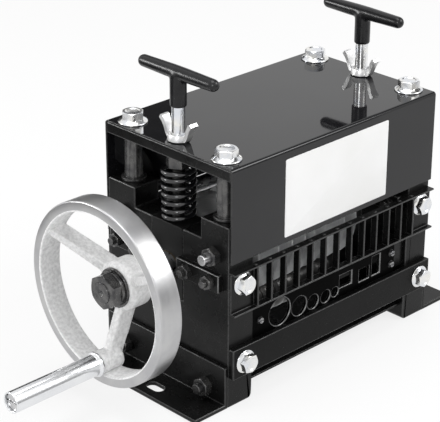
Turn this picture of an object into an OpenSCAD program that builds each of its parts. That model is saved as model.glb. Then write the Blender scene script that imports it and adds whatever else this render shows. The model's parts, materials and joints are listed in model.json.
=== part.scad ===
// Drill-powered wire stripper for the bench, in millimetres.
// X runs along the cutter shaft with the hand wheel at the -X end, the wire goes in at -Y, and Z is up.
// The origin lies on the bench, midway between the two end plates.

/* [End plates] */
// Length over the two end plates
body_l = 220; // [212:1:250]
// Depth of the end plates, front to back
body_d = 128; // [122:1:140]
// Thickness of an end plate
plate_t = 24; // [22:0.5:28]
// Height of the columns beside the window
plate_h = 145; // [140:1:152]
// Width of the window at the top of an end plate
window_w = 70; // [56:1:74]
// Height of the window's floor above the bench
window_z = 129; // [127:0.5:134]
// Radius of the inner bottom edge
plate_round = 4; // [1:0.5:8]

/* [Cover] */
// Height of the cover's top face above the bench
cover_z = 190; // [186:1:210]
// Thickness of the cover sheet
sheet_t = 1.5; // [1:0.1:2.5]
// Outer radius of the cover's bends
cover_bend = 2.5; // [1.5:0.1:5]
// Thickness of the top plate under the cover
top_t = 8; // [6:0.5:12]
// How far the top plate stands proud of the end plates, front and back
top_lip = 1; // [0.5:0.1:3]
// Height of the cover panels' lower edge above the bench
panel_z = 117; // [114:0.5:124]

/* [Posts] */
// Diameter of a post
post_d = 14; // [13:0.5:17]
// Distance of a post from the end plate's front or back face
post_inset = 15; // [13:0.5:16]
// Diameter of the collar at the foot of a post
post_foot_d = 19; // [16:0.5:22]
// Height of that collar
post_foot_h = 2.5; // [1.5:0.5:5]

/* [Bolts] */
// Thread of the cover bolts
top_thread = 10; // [8:1:10]
// Width across flats of the cover bolts
top_af = 16; // [13:0.5:17]
// Flange diameter of the cover bolts
top_flange_d = 22; // [19:0.5:24]
// Metal left between a cover bolt's end and the tie rod below it
bolt_wall = 3.5; // [2:0.5:8]
// Thread of the tie bar, guard and foot bolts
side_thread = 8; // [6:1:8]
// Width across flats of those bolts and nuts
side_af = 13; // [11:0.5:14]
// Flange diameter of those bolts
side_flange_d = 18; // [15:0.5:19]
// Length of the tie bar bolts inside an end plate
tie_grip = 20; // [12:1:22]
// Length of the guard bolts inside an end plate
guard_grip = 9; // [6:0.5:9.5]
// Slack of a bolt or stud in its hole, on the diameter
hole_gap = 0.2; // [0.1:0.05:0.4]

/* [Adjusting screws] */
// Diameter of a screw
screw_d = 10; // [9:0.5:11]
// Diameter of the screw's foot
foot_d = 18; // [16:0.5:21]
// Thickness of the screw's foot
foot_h = 6; // [4:0.5:7]
// Thickness of the block's lips over the foot
lip_t = 8; // [5:0.5:8.5]
// Slack of the foot in its slot, all round
foot_gap = 0.3; // [0.2:0.05:0.5]
// Height of the T-bar's axis above the cover
t_rise = 51; // [46:1:70]
// Length of the T-bar
t_len = 80; // [70:1:110]
// Thickness of the dipped T-bar
t_bar_d = 10; // [8:0.5:11]
// Diameter of the dipped sleeve below the T-bar
sleeve_d = 12.5; // [12:0.5:17]
// Height of the sleeve's lower end above the cover
sleeve_rise = 26; // [22:1:34]
// Height of the nut under the top plate
lift_nut_h = 10; // [6:0.5:12]
// Width across flats of that nut
lift_nut_af = 17; // [16:0.5:20]
// Running clearance of a screw in a nut, on the radius
thread_gap = 0.08; // [0.03:0.01:0.1]

/* [Wing nuts] */
// Diameter of a wing nut's base
wing_base_d = 16.5; // [15:0.5:20]
// Height of the base
wing_base_h = 5; // [4:0.5:7]
// Span over both ears
wing_span = 34; // [28:1:40]
// Height of the ears' tips above the base's seat
wing_h = 13; // [11:0.5:18]
// Width of an ear
wing_w = 8.5; // [6:0.5:10]
// Thickness of an ear
wing_t = 2.8; // [2:0.2:4]
// Gap between a wing nut and the cover
wing_seat = 0.3; // [0.2:0.1:0.6]
// Turn of the ears about the screw, in degrees
wing_turn = 90; // [-90:1:90]

/* [Springs] */
// Wire diameter of a spring
spring_wire = 3.6; // [2.5:0.1:3.8]
// Outer diameter of a spring
spring_od = 27; // [24:0.5:29]
// Turns of a spring
spring_turns = 7; // [5:0.5:7]
// Air between the turns of a closed end
closed_gap = 0.7; // [0.6:0.1:1.2]
// Gap between a spring's end and its seat
spring_seat = 0.3; // [0.2:0.1:0.5]

/* [Bearing blocks] */
// Width of the slot that guides a bearing block
slot_w = 32; // [30:0.5:36]
// Height of the cutter shaft above the bench
shaft_z = 94; // [92:0.5:96]
// How far a block reaches below the shaft's axis
block_under = 23; // [18:0.5:26]
// Gap on each side between a block and its guides
slide_gap = 0.1; // [0.05:0.05:0.2]
// Gap between a lowered block and the slot's floor
seat_gap = 0.3; // [0.2:0.1:0.6]
// Wall of a shaft bush
bush_wall = 3; // [2:0.5:4]
// Flange diameter of a shaft bush
bush_flange_d = 26; // [25:0.5:27]
// Flange thickness of a bush
bush_flange_t = 3; // [2:0.5:4]
// Running clearance of a shaft in a bush, on the radius
run_gap = 0.05; // [0.02:0.01:0.1]
// End play of a shaft between its bushes, each side
end_play = 0.3; // [0.2:0.1:0.6]

/* [Keeper bars] */
// Thickness of a keeper bar
keeper_t = 5; // [3:0.5:7]
// Height of a keeper bar
keeper_h = 14; // [12:0.5:18]
// Height of the keeper bars' middle above the bench
keeper_z = 100.5; // [96:0.5:103]
// Distance from the shaft's axis to a bar's inner end
keeper_near = 14; // [13.5:0.25:14.5]
// Distance of a bar's outer end from the end plate's front or back face
keeper_inset = 6; // [4:0.5:8]
// Distance from the shaft's axis to the inner stud
stud_near = 26; // [24:0.5:30]
// Distance of the outer stud from the end plate's front or back face
stud_inset = 15; // [14:0.5:20]
// Thread of the keeper studs
stud_d = 6; // [5:0.5:6]
// Width across flats of the keeper nuts
stud_af = 10; // [9:0.5:11]
// Height of a keeper nut
stud_nut_h = 5; // [4:0.5:6]

/* [Cutter shaft] */
// Diameter of the shaft under the discs
shaft_d = 20; // [19:0.5:22]
// Diameter of the shaft in its bushes
journal_d = 17; // [16.5:0.25:18]
// Diameter of a cutting disc
disc_d = 84; // [76:1:88]
// Thickness of a cutting disc
disc_t = 3; // [2:0.25:4]
// Width of the ground bevel round a disc
bevel_w = 6; // [3:0.5:10]
// Flat left on a disc's edge
edge_t = 0.3; // [0.2:0.1:0.8]
// Diameter of the spacers between discs
spacer_d = 32; // [29:0.5:38]
// Length of the end spacers
end_spacer = 5; // [3:0.5:6]
// Diameter of the stop collars
collar_d = 36; // [32:0.5:42]
// Width of a stop collar
collar_w = 9; // [7:0.5:10]
// Width and height of the shaft keys
key_w = 5; // [4:0.5:6]
// Diameter of a collar's grub screw
grub_d = 5; // [4:0.5:6]

/* [Feed ports] */
// Places of the feed ports and of their discs along X
port_x = [-57, -36, -21, -7, 3.5, 15.5, 37, 50.5];
// Diameters of the round ports
port_d = [22, 15.5, 11.5, 10, 7.5];
// Widths and heights of the rectangular ports
window_size = [[13.5, 10.5], [11.5, 10.5], [9, 16]];
// Heights of the ports' middles above the bench
port_z = [60.5, 57.5, 55.5, 55, 55, 61.5, 59, 62];
// Thickness of the feed plate
feed_t = 3; // [2:0.5:5]
// Height of the feed plate's lower edge above the bench
feed_z = 30; // [28:0.5:40]
// Length of the feed plate left bare at its right end
feed_gap = 14; // [10:0.5:18]
// Gap between the feed plate and the guard above it
feed_top_gap = 0.5; // [0.3:0.1:1]
// Width of the left bracket behind the feed plate
bracket_w = 16; // [12:0.5:17]
// Thickness of the feed plate's brackets
bracket_t = 3; // [2:0.5:4]
// Height of the brackets
bracket_h = 24; // [18:0.5:28]
// Length of a bracket's leg along the end plate
bracket_leg = 20; // [15:0.5:30]
// Thread of the feed plate's screws
feed_screw_d = 4; // [3:0.5:5]

/* [Feed roller] */
// Diameter of the roller
roller_d = 30; // [26:0.5:32]
// Gap between a lowered disc and the roller
nip_gap = 0.6; // [0.4:0.1:2]
// Diameter of the roller's axle
axle_d = 12; // [10:0.5:14]
// Width of a groove in the roller
groove_w = 6; // [3:0.5:7]
// Depth of a groove in the roller
groove_h = 2; // [1:0.25:4]
// Wall of a roller bush
roller_bush_wall = 2.5; // [2:0.25:4]

/* [Tie bars and rods] */
// Height of a tie bar
tie_h = 24; // [20:0.5:24.5]
// Thickness of a tie bar
tie_t = 5; // [4:0.5:8]
// Height of the front tie bar's lower edge above the bench
front_tie_z = 25; // [24:0.5:25.5]
// Height of the rear tie bar's lower edge above the bench
rear_tie_z = 10; // [8:0.5:12]
// Diameter of an upper tie rod between the plates
rod_d = 12; // [10:0.5:12]
// Distance of an upper tie rod from the end plate's front or back face
rod_inset = 15; // [13:0.5:16]
// Height of the upper tie rods above the bench
rod_z = 119.5; // [117:0.5:121]
// How far a tie rod stands out of an end plate
rod_out = 13; // [10:0.5:16]

/* [Guards] */
// Height of a guard's top edge above the bench
guard_z = 110.5; // [109:0.5:113]
// Height of a guard, top edge to bottom edge
guard_h = 34; // [32:0.5:36]
// How far a guard's flanges stand out
guard_out = 6; // [4:0.5:9]
// Thickness of the guard's flanges and fins
guard_t = 1.5; // [1:0.1:2.5]
// Thickness of the guard's end tabs
tab_t = 2; // [1.5:0.1:3]
// Number of fins
fin_n = 13; // [9:2:17]
// Depth of the guard bolts below the guard's top edge
guard_bolt_drop = 11; // [10:0.5:12]
// Diameter of the weld dots over the fins
dot_d = 2.4; // [1.6:0.1:3]

/* [Chute] */
// Thickness of the chute sheet
chute_t = 1.5; // [1:0.1:2.5]
// Height of the chute's front edge above the bench
chute_z = 12; // [8:0.5:16]
// Height of the chute's inner edge above its front edge
chute_rise = 20; // [12:0.5:21]
// Distance of the chute's inner edge in front of the roller's axis
chute_in = 24; // [23:0.5:30]
// Distance of the chute's front edge behind the end plates' front
chute_set = 4; // [2:0.5:8]

/* [Feet] */
// Width of a foot, from the end plate outwards
foot_w = 33; // [30:0.5:44]
// Thickness of a foot
foot_t = 3.5; // [2.5:0.5:5]
// Height of a foot's upright leg
leg_h = 34; // [28:0.5:40]
// Length of the slot in a foot
slot_l = 16; // [12:0.5:24]
// Width of the slot in a foot
slot_t = 9; // [7:0.5:12]
// Distance of the slot from the end plate
slot_out = 21; // [18:0.5:23]
// Distance of the slot from the foot's middle, towards the front
slot_fore = 8; // [0:0.5:12]
// Distance of the foot studs from the end plate's front or back face
foot_stud_inset = 20; // [16:0.5:24]
// Height of the foot studs above the bench
foot_stud_z = 13; // [12:0.5:14]
// Height of the nuts on studs and tie rods
side_nut_h = 6.5; // [5:0.5:8]

/* [Hand wheel] */
// Outer diameter of the hand wheel
wheel_d = 140; // [130:1:150]
// Width of the rim along the axis
rim_w = 19; // [18:0.5:22]
// Thickness of the rim along the radius
rim_t = 8; // [7:0.5:10]
// Chamfer on the rim's edges
rim_chamfer = 2.5; // [1:0.25:4]
// Distance from the end plate to the hub
hub_gap = 20; // [18:0.5:26]
// Length of the hub
hub_l = 30.5; // [28:0.5:34]
// Diameter of the hub
hub_d = 38; // [34:0.5:44]
// How far the rim's front stands out in front of the hub
dish = 19; // [17:0.5:22]
// Thickness of a spoke along the axis
spoke_t = 15; // [12:0.5:16]
// Width of a spoke at the hub
spoke_in_w = 8; // [6:0.5:12]
// Width of a spoke at the rim
spoke_out_w = 6; // [5:0.5:10]
// Thread on the shaft's end
wheel_thread = 16; // [14:0.5:16]
// Width across flats of the hub nut
hub_nut_af = 24; // [22:0.5:27]
// Height of the hub nut
hub_nut_h = 8; // [7:0.5:12]
// Diameter of the flat washer
washer_d = 30; // [27:0.5:34]
// Thickness of the flat washer
washer_t = 2; // [1.5:0.5:4]
// Thickness of the spring washer
split_t = 3; // [3:0.5:5]
// Diameter of the tube between the left bush and the hub
tube_d = 23; // [21:0.5:24]

/* [Crank grip] */
// Distance of the grip's axis from the rim's outer edge
crank_inset = 15; // [14:0.5:20]
// Diameter of the grip
grip_d = 16; // [15:0.5:20]
// Length of the grip
grip_l = 79; // [70:1:110]
// Diameter of the grip's spindle
spindle_d = 9; // [8:0.5:10]
// Diameter of the boss that holds the spindle
boss_d = 17; // [15.5:0.5:19]
// Running clearance of the grip on its spindle, on the radius
grip_gap = 0.08; // [0.03:0.01:0.1]

/* [Hidden] */
$fn = 48;
cut = 1;
plate_in = body_l/2 - plate_t;
plate_mid = body_l/2 - plate_t/2;
front_y = -body_d/2;
back_y = body_d/2;
top_d = body_d + 2*top_lip;
top_under = cover_z - sheet_t - top_t;
post_y = body_d/2 - post_inset;
rod_y = body_d/2 - rod_inset;
top_grip = plate_h - rod_z - side_thread/2 - bolt_wall;
keeper_far = body_d/2 - keeper_inset;
stud_far = body_d/2 - stud_inset;
crank_r = wheel_d/2 - crank_inset;
foot_stud_y = body_d/2 - foot_stud_inset;
nut_under = top_under - lift_nut_h;
block_z = shaft_z - block_under;
bush_d = journal_d + 2*bush_wall;
foot_top = window_z - lip_t - foot_gap;
guard_bottom = guard_z - guard_h;
guard_bolt_z = guard_z - guard_bolt_drop;
front_bolt_z = front_tie_z + tie_h/2;
rear_bolt_z = rear_tie_z + tie_h/2;
feed_top = guard_bottom - feed_top_gap;
feed_right = plate_in - feed_gap;
bracket_mid = (feed_top + front_tie_z + tie_h)/2 - 1;
roller_z = shaft_z - disc_d/2 - nip_gap - roller_d/2;
roller_bush_d = axle_d + 2*roller_bush_wall;
roller_half = plate_in - roller_bush_wall - end_play;
core_half = plate_in - bush_flange_t - end_play;
stack_left = port_x[0] - disc_t/2 - end_spacer;
stack_right = port_x[len(port_x) - 1] + disc_t/2 + end_spacer;
hub_back = -body_l/2 - hub_gap;
hub_front = hub_back - hub_l;
rim_front = hub_front - dish;
rim_back = rim_front + rim_w;
nut_seat = hub_front - washer_t - split_t;
shaft_end = nut_seat - hub_nut_h - 1;
grip_in = rim_front - end_play;
spring_h = nut_under - window_z - 2*spring_seat;
black = "#1c1d1f";
oxide = "#2b2c2e";
zinc = "#d4d6d8";
steel = "#b9bcc0";
bronze = "#b08a4a";

// Placing

// Draws a piece of the +X end, or its mirror image at the -X end.
module at_end(side) {
    if (side < 0)
        mirror([1, 0, 0]) children();
    else
        children();
}

module both_ends() {
    for (side = [-1, 1])
        at_end(side) children();
}

module front_and_back() {
    children();
    mirror([0, 1, 0]) children();
}

// Turns a piece drawn along +Z so that it points along +X, -Y or +Y.
module to_right() { rotate([0, 90, 0]) children(); }
module to_front() { rotate([90, 0, 0]) children(); }
module to_back() { rotate([-90, 0, 0]) children(); }

// A rod along X from x0 to x1.
module rod_x(x0, x1, y, z, d) {
    translate([x0, y, z]) to_right() cylinder(d = d, h = x1 - x0);
}

// Extrudes a profile drawn in Y and Z along X, from x0 to x1.
module extrude_x(x0, x1) {
    translate([x0, 0, 0]) rotate([90, 0, 90]) linear_extrude(x1 - x0) children();
}

// Revolves a profile of radius and distance about the shaft's axis, with the distance along X from x0.
module revolve_x(x0, z) {
    translate([x0, 0, z]) to_right() rotate_extrude() children();
}

// Fasteners

// A hexagonal head or nut blank with a chamfered top, seat at z = 0.
module hex_blank(af, h) {
    corner_r = af/sqrt(3);
    chamfer = 0.1*af;
    intersection() {
        cylinder(r = corner_r, h = h, $fn = 6);
        rotate_extrude()
            polygon([[0, 0], [corner_r, 0], [corner_r, h - chamfer/2], [corner_r - chamfer, h], [0, h]]);
    }
}

module hex_nut(thread, af, h, gap) {
    difference() {
        hex_blank(af, h);
        translate([0, 0, -cut]) cylinder(d = thread + gap, h = h + 2*cut);
    }
}

// A flange bolt with its seat at z = 0 and its shank below.
module flange_bolt(thread, af, flange_d, shank) {
    flange_t = 0.12*thread;
    cone_t = 0.16*thread;
    head_h = 0.85*thread;
    cylinder(d = flange_d, h = flange_t);
    translate([0, 0, flange_t]) cylinder(d1 = flange_d, d2 = af, h = cone_t);
    difference() {
        hex_blank(af, head_h);
        translate([0, 0, head_h - 0.08*thread]) cylinder(d = 0.75*af, h = thread);
    }
    translate([0, 0, -shank]) cylinder(d = thread, h = shank);
}

// End plates and feet

module plate_outline() {
    difference() {
        translate([front_y, 0]) square([body_d, plate_h]);
        translate([-window_w/2, window_z]) square([window_w, plate_h - window_z + cut]);
        translate([-slot_w/2, block_z - seat_gap]) square([slot_w, window_z - block_z + seat_gap + cut]);
    }
}

module plate_holes() {
    hole_l = plate_t + 2*cut;
    x = plate_in - cut;
    rod_x(x, x + hole_l, 0, roller_z, roller_bush_d);
    front_and_back() {
        rod_x(x, x + hole_l, rod_y, rod_z, side_thread + hole_gap);
        rod_x(x, x + hole_l, foot_stud_y, foot_stud_z, side_thread + hole_gap);
        for (y = [stud_near, stud_far])
            rod_x(x, x + hole_l, y, keeper_z, stud_d + hole_gap);
        translate([plate_mid, post_y, plate_h - top_grip - cut])
            cylinder(d = top_thread + hole_gap, h = top_grip + 2*cut);
        translate([plate_mid, back_y + cut, guard_bolt_z])
            to_front() cylinder(d = side_thread + hole_gap, h = guard_grip + 2*cut);
    }
    translate([plate_mid, front_y - cut, front_bolt_z])
        to_back() cylinder(d = side_thread + hole_gap, h = tie_grip + 2*cut);
    translate([plate_mid, back_y + cut, rear_bolt_z])
        to_front() cylinder(d = side_thread + hole_gap, h = tie_grip + 2*cut);
}

// The corner that is taken off the plate's inner bottom edge.
module plate_corner() {
    difference() {
        translate([plate_in - cut, front_y - cut, -cut])
            cube([plate_round + cut, body_d + 2*cut, plate_round + cut]);
        translate([plate_in + plate_round, front_y - 2*cut, plate_round])
            to_back() cylinder(r = plate_round, h = body_d + 4*cut);
    }
}

module end_plate() {
    difference() {
        extrude_x(plate_in, body_l/2) plate_outline();
        plate_holes();
        plate_corner();
    }
}

module end_plate_left() { color(black) at_end(-1) end_plate(); }
module end_plate_right() { color(black) at_end(1) end_plate(); }

module foot_slot() {
    straight = slot_l - slot_t;
    translate([body_l/2 + slot_out, -slot_fore, -cut]) linear_extrude(foot_t + 2*cut) {
        square([slot_t, straight], center = true);
        for (y = [-straight/2, straight/2])
            translate([0, y]) circle(d = slot_t);
    }
}

module angle_foot() {
    difference() {
        union() {
            translate([body_l/2, front_y, 0]) cube([foot_w, body_d, foot_t]);
            translate([body_l/2, front_y, 0]) cube([foot_t, body_d, leg_h]);
        }
        foot_slot();
        front_and_back()
            rod_x(body_l/2 - cut, body_l/2 + foot_t + cut, foot_stud_y, foot_stud_z, side_thread + hole_gap);
    }
}

module foot_left() { color(black) at_end(-1) angle_foot(); }
module foot_right() { color(black) at_end(1) angle_foot(); }

module foot_studs() {
    color(oxide) both_ends() front_and_back()
        rod_x(plate_in, body_l/2 + foot_t + side_nut_h + side_thread/2, foot_stud_y, foot_stud_z, side_thread);
}

module foot_nuts() {
    color(oxide) both_ends() front_and_back()
        translate([body_l/2 + foot_t, foot_stud_y, foot_stud_z])
            to_right() hex_nut(side_thread, side_af, side_nut_h, hole_gap);
}

// Cover, top plate and posts

module top_plate() {
    color(black) difference() {
        translate([-body_l/2, -top_d/2, top_under]) cube([body_l, top_d, top_t]);
        both_ends() {
            translate([plate_mid, 0, top_under - cut]) cylinder(d = screw_d + 1.5, h = top_t + 2*cut);
            front_and_back() translate([plate_mid, post_y, top_under - cut])
                cylinder(d = top_thread + hole_gap, h = top_t + 2*cut);
        }
    }
}

module cover_outline() {
    half = top_d/2 + sheet_t;
    difference() {
        union() {
            translate([-half, panel_z]) square([2*half, cover_z - cover_bend - panel_z]);
            translate([-half + cover_bend, panel_z]) square([2*(half - cover_bend), cover_z - panel_z]);
            for (y = [-half + cover_bend, half - cover_bend])
                translate([y, cover_z - cover_bend]) circle(r = cover_bend);
        }
        translate([-top_d/2, panel_z - cut]) square([top_d, cover_z - sheet_t - panel_z + cut]);
    }
}

module cover_shell() {
    color(black) difference() {
        extrude_x(-body_l/2, body_l/2) cover_outline();
        both_ends() {
            translate([plate_mid, 0, cover_z - sheet_t - cut]) cylinder(d = screw_d + 3, h = sheet_t + 2*cut);
            front_and_back() translate([plate_mid, post_y, cover_z - sheet_t - cut])
                cylinder(d = top_thread + hole_gap, h = sheet_t + 2*cut);
        }
    }
}

module cover_posts() {
    color(black) both_ends() front_and_back() translate([plate_mid, post_y, plate_h]) difference() {
        union() {
            cylinder(d = post_d, h = top_under - plate_h);
            cylinder(d = post_foot_d, h = post_foot_h);
        }
        translate([0, 0, -cut]) cylinder(d = top_thread + hole_gap, h = top_under - plate_h + 2*cut);
    }
}

module top_bolts() {
    color(zinc) both_ends() front_and_back() translate([plate_mid, post_y, cover_z])
        flange_bolt(top_thread, top_af, top_flange_d, cover_z - plate_h + top_grip);
}

module lift_nuts() {
    color(oxide) both_ends() translate([plate_mid, 0, nut_under])
        hex_nut(screw_d, lift_nut_af, lift_nut_h, 2*thread_gap);
}

// Tie bars and rods

module tie_bar(y, z, bolt_z) {
    difference() {
        translate([-body_l/2, y, z]) cube([body_l, tie_t, tie_h]);
        both_ends() translate([plate_mid, y - cut, bolt_z])
            to_back() cylinder(d = side_thread + hole_gap, h = tie_t + 2*cut);
    }
}

module front_tie_bar() { color(black) tie_bar(front_y - tie_t, front_tie_z, front_bolt_z); }
module rear_tie_bar() { color(black) tie_bar(back_y, rear_tie_z, rear_bolt_z); }

module tie_bar_bolts() {
    color(zinc) both_ends() {
        translate([plate_mid, front_y - tie_t, front_bolt_z])
            to_front() flange_bolt(side_thread, side_af, side_flange_d, tie_t + tie_grip);
        translate([plate_mid, back_y + tie_t, rear_bolt_z])
            to_back() flange_bolt(side_thread, side_af, side_flange_d, tie_t + tie_grip);
    }
}

module tie_rods() {
    color(steel) front_and_back() {
        rod_x(-plate_in, plate_in, rod_y, rod_z, rod_d);
        rod_x(-body_l/2 - rod_out, body_l/2 + rod_out, rod_y, rod_z, side_thread);
    }
}

module tie_rod_nuts() {
    color(oxide) both_ends() front_and_back() translate([body_l/2, rod_y, rod_z])
        to_right() hex_nut(side_thread, side_af, side_nut_h, hole_gap);
}

// Guards, feed plate and chute

module guard_flanges(y) {
    for (z = [guard_bottom, guard_z - guard_t])
        translate([-body_l/2, y, z]) cube([body_l, guard_out, guard_t]);
}

module guard_tabs(y) {
    both_ends() difference() {
        translate([plate_in, y, guard_bottom]) cube([plate_t, tab_t, guard_h]);
        translate([plate_mid, y - cut, guard_bolt_z])
            to_back() cylinder(d = side_thread + hole_gap, h = tab_t + 2*cut);
    }
}

module finger_guard() {
    fin_pitch = 2*plate_in/(fin_n - 1);
    color(black) {
        guard_flanges(front_y - guard_out);
        guard_tabs(front_y - tab_t);
        for (i = [0 : fin_n - 1]) translate([-plate_in + i*fin_pitch, front_y - guard_out, 0]) {
            translate([-guard_t/2, 0, guard_bottom]) cube([guard_t, guard_out, guard_h]);
            translate([0, guard_out/2, guard_z]) cylinder(d = dot_d, h = guard_t/2, $fn = 24);
        }
    }
}

module rear_guard() {
    color(black) {
        guard_flanges(back_y);
        guard_tabs(back_y);
        translate([-plate_in, back_y, guard_bottom]) cube([2*plate_in, tab_t, guard_h]);
    }
}

module guard_bolts() {
    color(zinc) both_ends() front_and_back() translate([plate_mid, back_y + tab_t, guard_bolt_z])
        to_back() flange_bolt(side_thread, side_af, side_flange_d, tab_t + guard_grip);
}

module feed_ports(depth) {
    for (i = [0 : len(port_x) - 1]) translate([port_x[i], 0, port_z[i]]) {
        if (i < len(port_d)) {
            to_back() cylinder(d = port_d[i], h = depth);
        } else {
            size = window_size[i - len(port_d)];
            translate([-size[0]/2, 0, -size[1]/2]) cube([size[0], depth, size[1]]);
        }
    }
}

// Places of the feed plate's screws: one at the left bracket, two at the right one.
feed_screw_at = [[-plate_in + bracket_w/2, bracket_mid],
    for (s = [-1, 1]) [feed_right - feed_screw_d, bracket_mid + s*bracket_h/5]];

module feed_screw_holes(y, depth) {
    for (p = feed_screw_at) translate([p[0], y - cut, p[1]])
        to_back() cylinder(d = feed_screw_d + hole_gap, h = depth + 2*cut);
}

module feed_plate() {
    color(black) difference() {
        translate([-plate_in, front_y, feed_z]) cube([plate_in + feed_right, feed_t, feed_top - feed_z]);
        translate([0, front_y - cut, 0]) feed_ports(feed_t + 2*cut);
        feed_screw_holes(front_y, feed_t);
    }
}

// An angle behind the feed plate: one leg on the plate's back, one on the end plate's inner face.
module feed_bracket(w) {
    y = front_y + feed_t;
    z = bracket_mid - bracket_h/2;
    translate([plate_in - w, y, z]) cube([w, bracket_t, bracket_h]);
    translate([plate_in - bracket_t, y, z]) cube([bracket_t, bracket_leg, bracket_h]);
}

module feed_brackets() {
    right_w = feed_gap + 3*feed_screw_d;
    color(oxide) difference() {
        union() {
            at_end(-1) feed_bracket(bracket_w);
            at_end(1) feed_bracket(right_w);
        }
        feed_screw_holes(front_y + feed_t, bracket_t);
    }
}

module feed_screws() {
    head_d = 1.9*feed_screw_d;
    head_h = 0.55*feed_screw_d;
    color(zinc) for (p = feed_screw_at) translate([p[0], front_y, p[1]]) {
        to_front() difference() {
            cylinder(d1 = head_d, d2 = 0.8*head_d, h = head_h);
            translate([-head_d, -head_h/4, head_h/2]) cube([2*head_d, head_h/2, head_h]);
        }
        to_back() cylinder(d = feed_screw_d, h = feed_t + bracket_t + 1);
    }
}

module chute_tray() {
    y0 = front_y + chute_set;
    y1 = -chute_in;
    color(black) extrude_x(-plate_in, plate_in) polygon([[y0, chute_z], [y1, chute_z + chute_rise],
        [y1, chute_z + chute_rise + chute_t], [y0, chute_z + chute_t]]);
}

// Bearing blocks, keepers and bushes

module bearing_block() {
    x0 = plate_in + slide_gap;
    block_t = plate_t - 2*slide_gap;
    block_w = slot_w - 2*slide_gap;
    foot_slot_w = foot_d + 2*foot_gap;
    neck_w = screw_d + 2*foot_gap;
    foot_z = foot_top - foot_h - foot_gap;
    difference() {
        translate([x0, -block_w/2, block_z]) cube([block_t, block_w, window_z - block_z]);
        rod_x(x0 - cut, x0 + block_t + cut, 0, shaft_z, bush_d);
        translate([plate_mid, 0, foot_z]) cylinder(d = foot_slot_w, h = foot_h + 2*foot_gap);
        translate([plate_in - cut, -foot_slot_w/2, foot_z])
            cube([plate_t/2 + cut, foot_slot_w, foot_h + 2*foot_gap]);
        translate([plate_mid, 0, foot_z]) cylinder(d = neck_w, h = window_z - foot_z + cut);
        translate([plate_in - cut, -neck_w/2, foot_z]) cube([plate_t/2 + cut, neck_w, window_z - foot_z + cut]);
    }
}

module bearing_block_left() { color(oxide) at_end(-1) bearing_block(); }
module bearing_block_right() { color(oxide) at_end(1) bearing_block(); }

module shaft_bushes() {
    color(bronze) both_ends() difference() {
        union() {
            rod_x(plate_in, body_l/2 - slide_gap, 0, shaft_z, bush_d);
            rod_x(plate_in + slide_gap - bush_flange_t, plate_in + slide_gap, 0, shaft_z, bush_flange_d);
        }
        rod_x(plate_in - bush_flange_t, body_l/2 + cut, 0, shaft_z, journal_d + 2*run_gap);
    }
}

module keeper_bar(x) {
    difference() {
        translate([x, keeper_near, keeper_z - keeper_h/2])
            cube([keeper_t, keeper_far - keeper_near, keeper_h]);
        for (y = [stud_near, stud_far])
            rod_x(x - cut, x + keeper_t + cut, y, keeper_z, stud_d + hole_gap);
    }
}

module keeper_bars() {
    color(black) both_ends() front_and_back() {
        keeper_bar(body_l/2);
        keeper_bar(plate_in - keeper_t);
    }
}

module keeper_studs() {
    reach = keeper_t + stud_nut_h + stud_d/2;
    color(oxide) both_ends() front_and_back() for (y = [stud_near, stud_far])
        rod_x(plate_in - reach, body_l/2 + reach, y, keeper_z, stud_d);
}

module keeper_nuts() {
    color(oxide) both_ends() front_and_back() for (y = [stud_near, stud_far]) {
        translate([body_l/2 + keeper_t, y, keeper_z]) to_right() hex_nut(stud_d, stud_af, stud_nut_h, hole_gap);
        translate([plate_in - keeper_t, y, keeper_z])
            rotate([0, -90, 0]) hex_nut(stud_d, stud_af, stud_nut_h, hole_gap);
    }
}

// Springs

// Height of the wire's middle after t turns: close at both ends, evenly open between.
function spring_rise(t) =
    let (close = spring_wire + closed_gap,
        open = (spring_h - spring_wire - 2*close)/(spring_turns - 2))
    t < 1 ? close*t
    : t < spring_turns - 1 ? close + open*(t - 1)
    : spring_h - spring_wire - close*(spring_turns - t);
rings_per_turn = 8;
wire_sides = 6;
ring_n = spring_turns*rings_per_turn + 1;
coil_r = (spring_od - spring_wire)/2;
spring_points = [for (i = [0 : ring_n - 1]) let (t = i/rings_per_turn, a = 360*t) for (k = [0 : wire_sides - 1])
    let (b = 360*k/wire_sides, r = coil_r + spring_wire/2*cos(b))
    [r*cos(a), r*sin(a), spring_wire/2 + spring_rise(t) + spring_wire/2*sin(b)]];
spring_sides = [for (i = [0 : ring_n - 2], k = [0 : wire_sides - 1])
    let (p = i*wire_sides + k, q = i*wire_sides + (k + 1)%wire_sides)
    each [[p, p + wire_sides, q], [q, p + wire_sides, q + wire_sides]]];
last_ring = (ring_n - 1)*wire_sides;
spring_caps = [for (k = [1 : wire_sides - 2])
    each [[0, k, k + 1], [last_ring, last_ring + k + 1, last_ring + k]]];
spring_gap = min([for (i = [0 : ring_n - rings_per_turn - 2]) for (k = [0 : wire_sides - 1])
    for (m = [0 : wire_sides - 1])
        norm(spring_points[(i + rings_per_turn)*wire_sides + m] - spring_points[i*wire_sides + k])]);
echo("Least gap of a spring to itself, mm:", spring_gap);

module coil_spring() {
    polyhedron(spring_points, concat(spring_sides, spring_caps));
}

module spring_left() { color(black) translate([-plate_mid, 0, window_z + spring_seat]) coil_spring(); }
module spring_right() { color(black) translate([plate_mid, 0, window_z + spring_seat]) coil_spring(); }

// Adjusting screws, T-grips and wing nuts

module adjusting_screw() {
    top = cover_z + t_rise;
    translate([plate_mid, 0, 0]) {
        translate([0, 0, foot_top - foot_h]) cylinder(d = foot_d, h = foot_h);
        translate([0, 0, foot_top - foot_h]) cylinder(d = screw_d, h = top - foot_top + foot_h);
    }
}

module screw_left() { color(zinc) at_end(-1) adjusting_screw(); }
module screw_right() { color(zinc) at_end(1) adjusting_screw(); }

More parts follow.
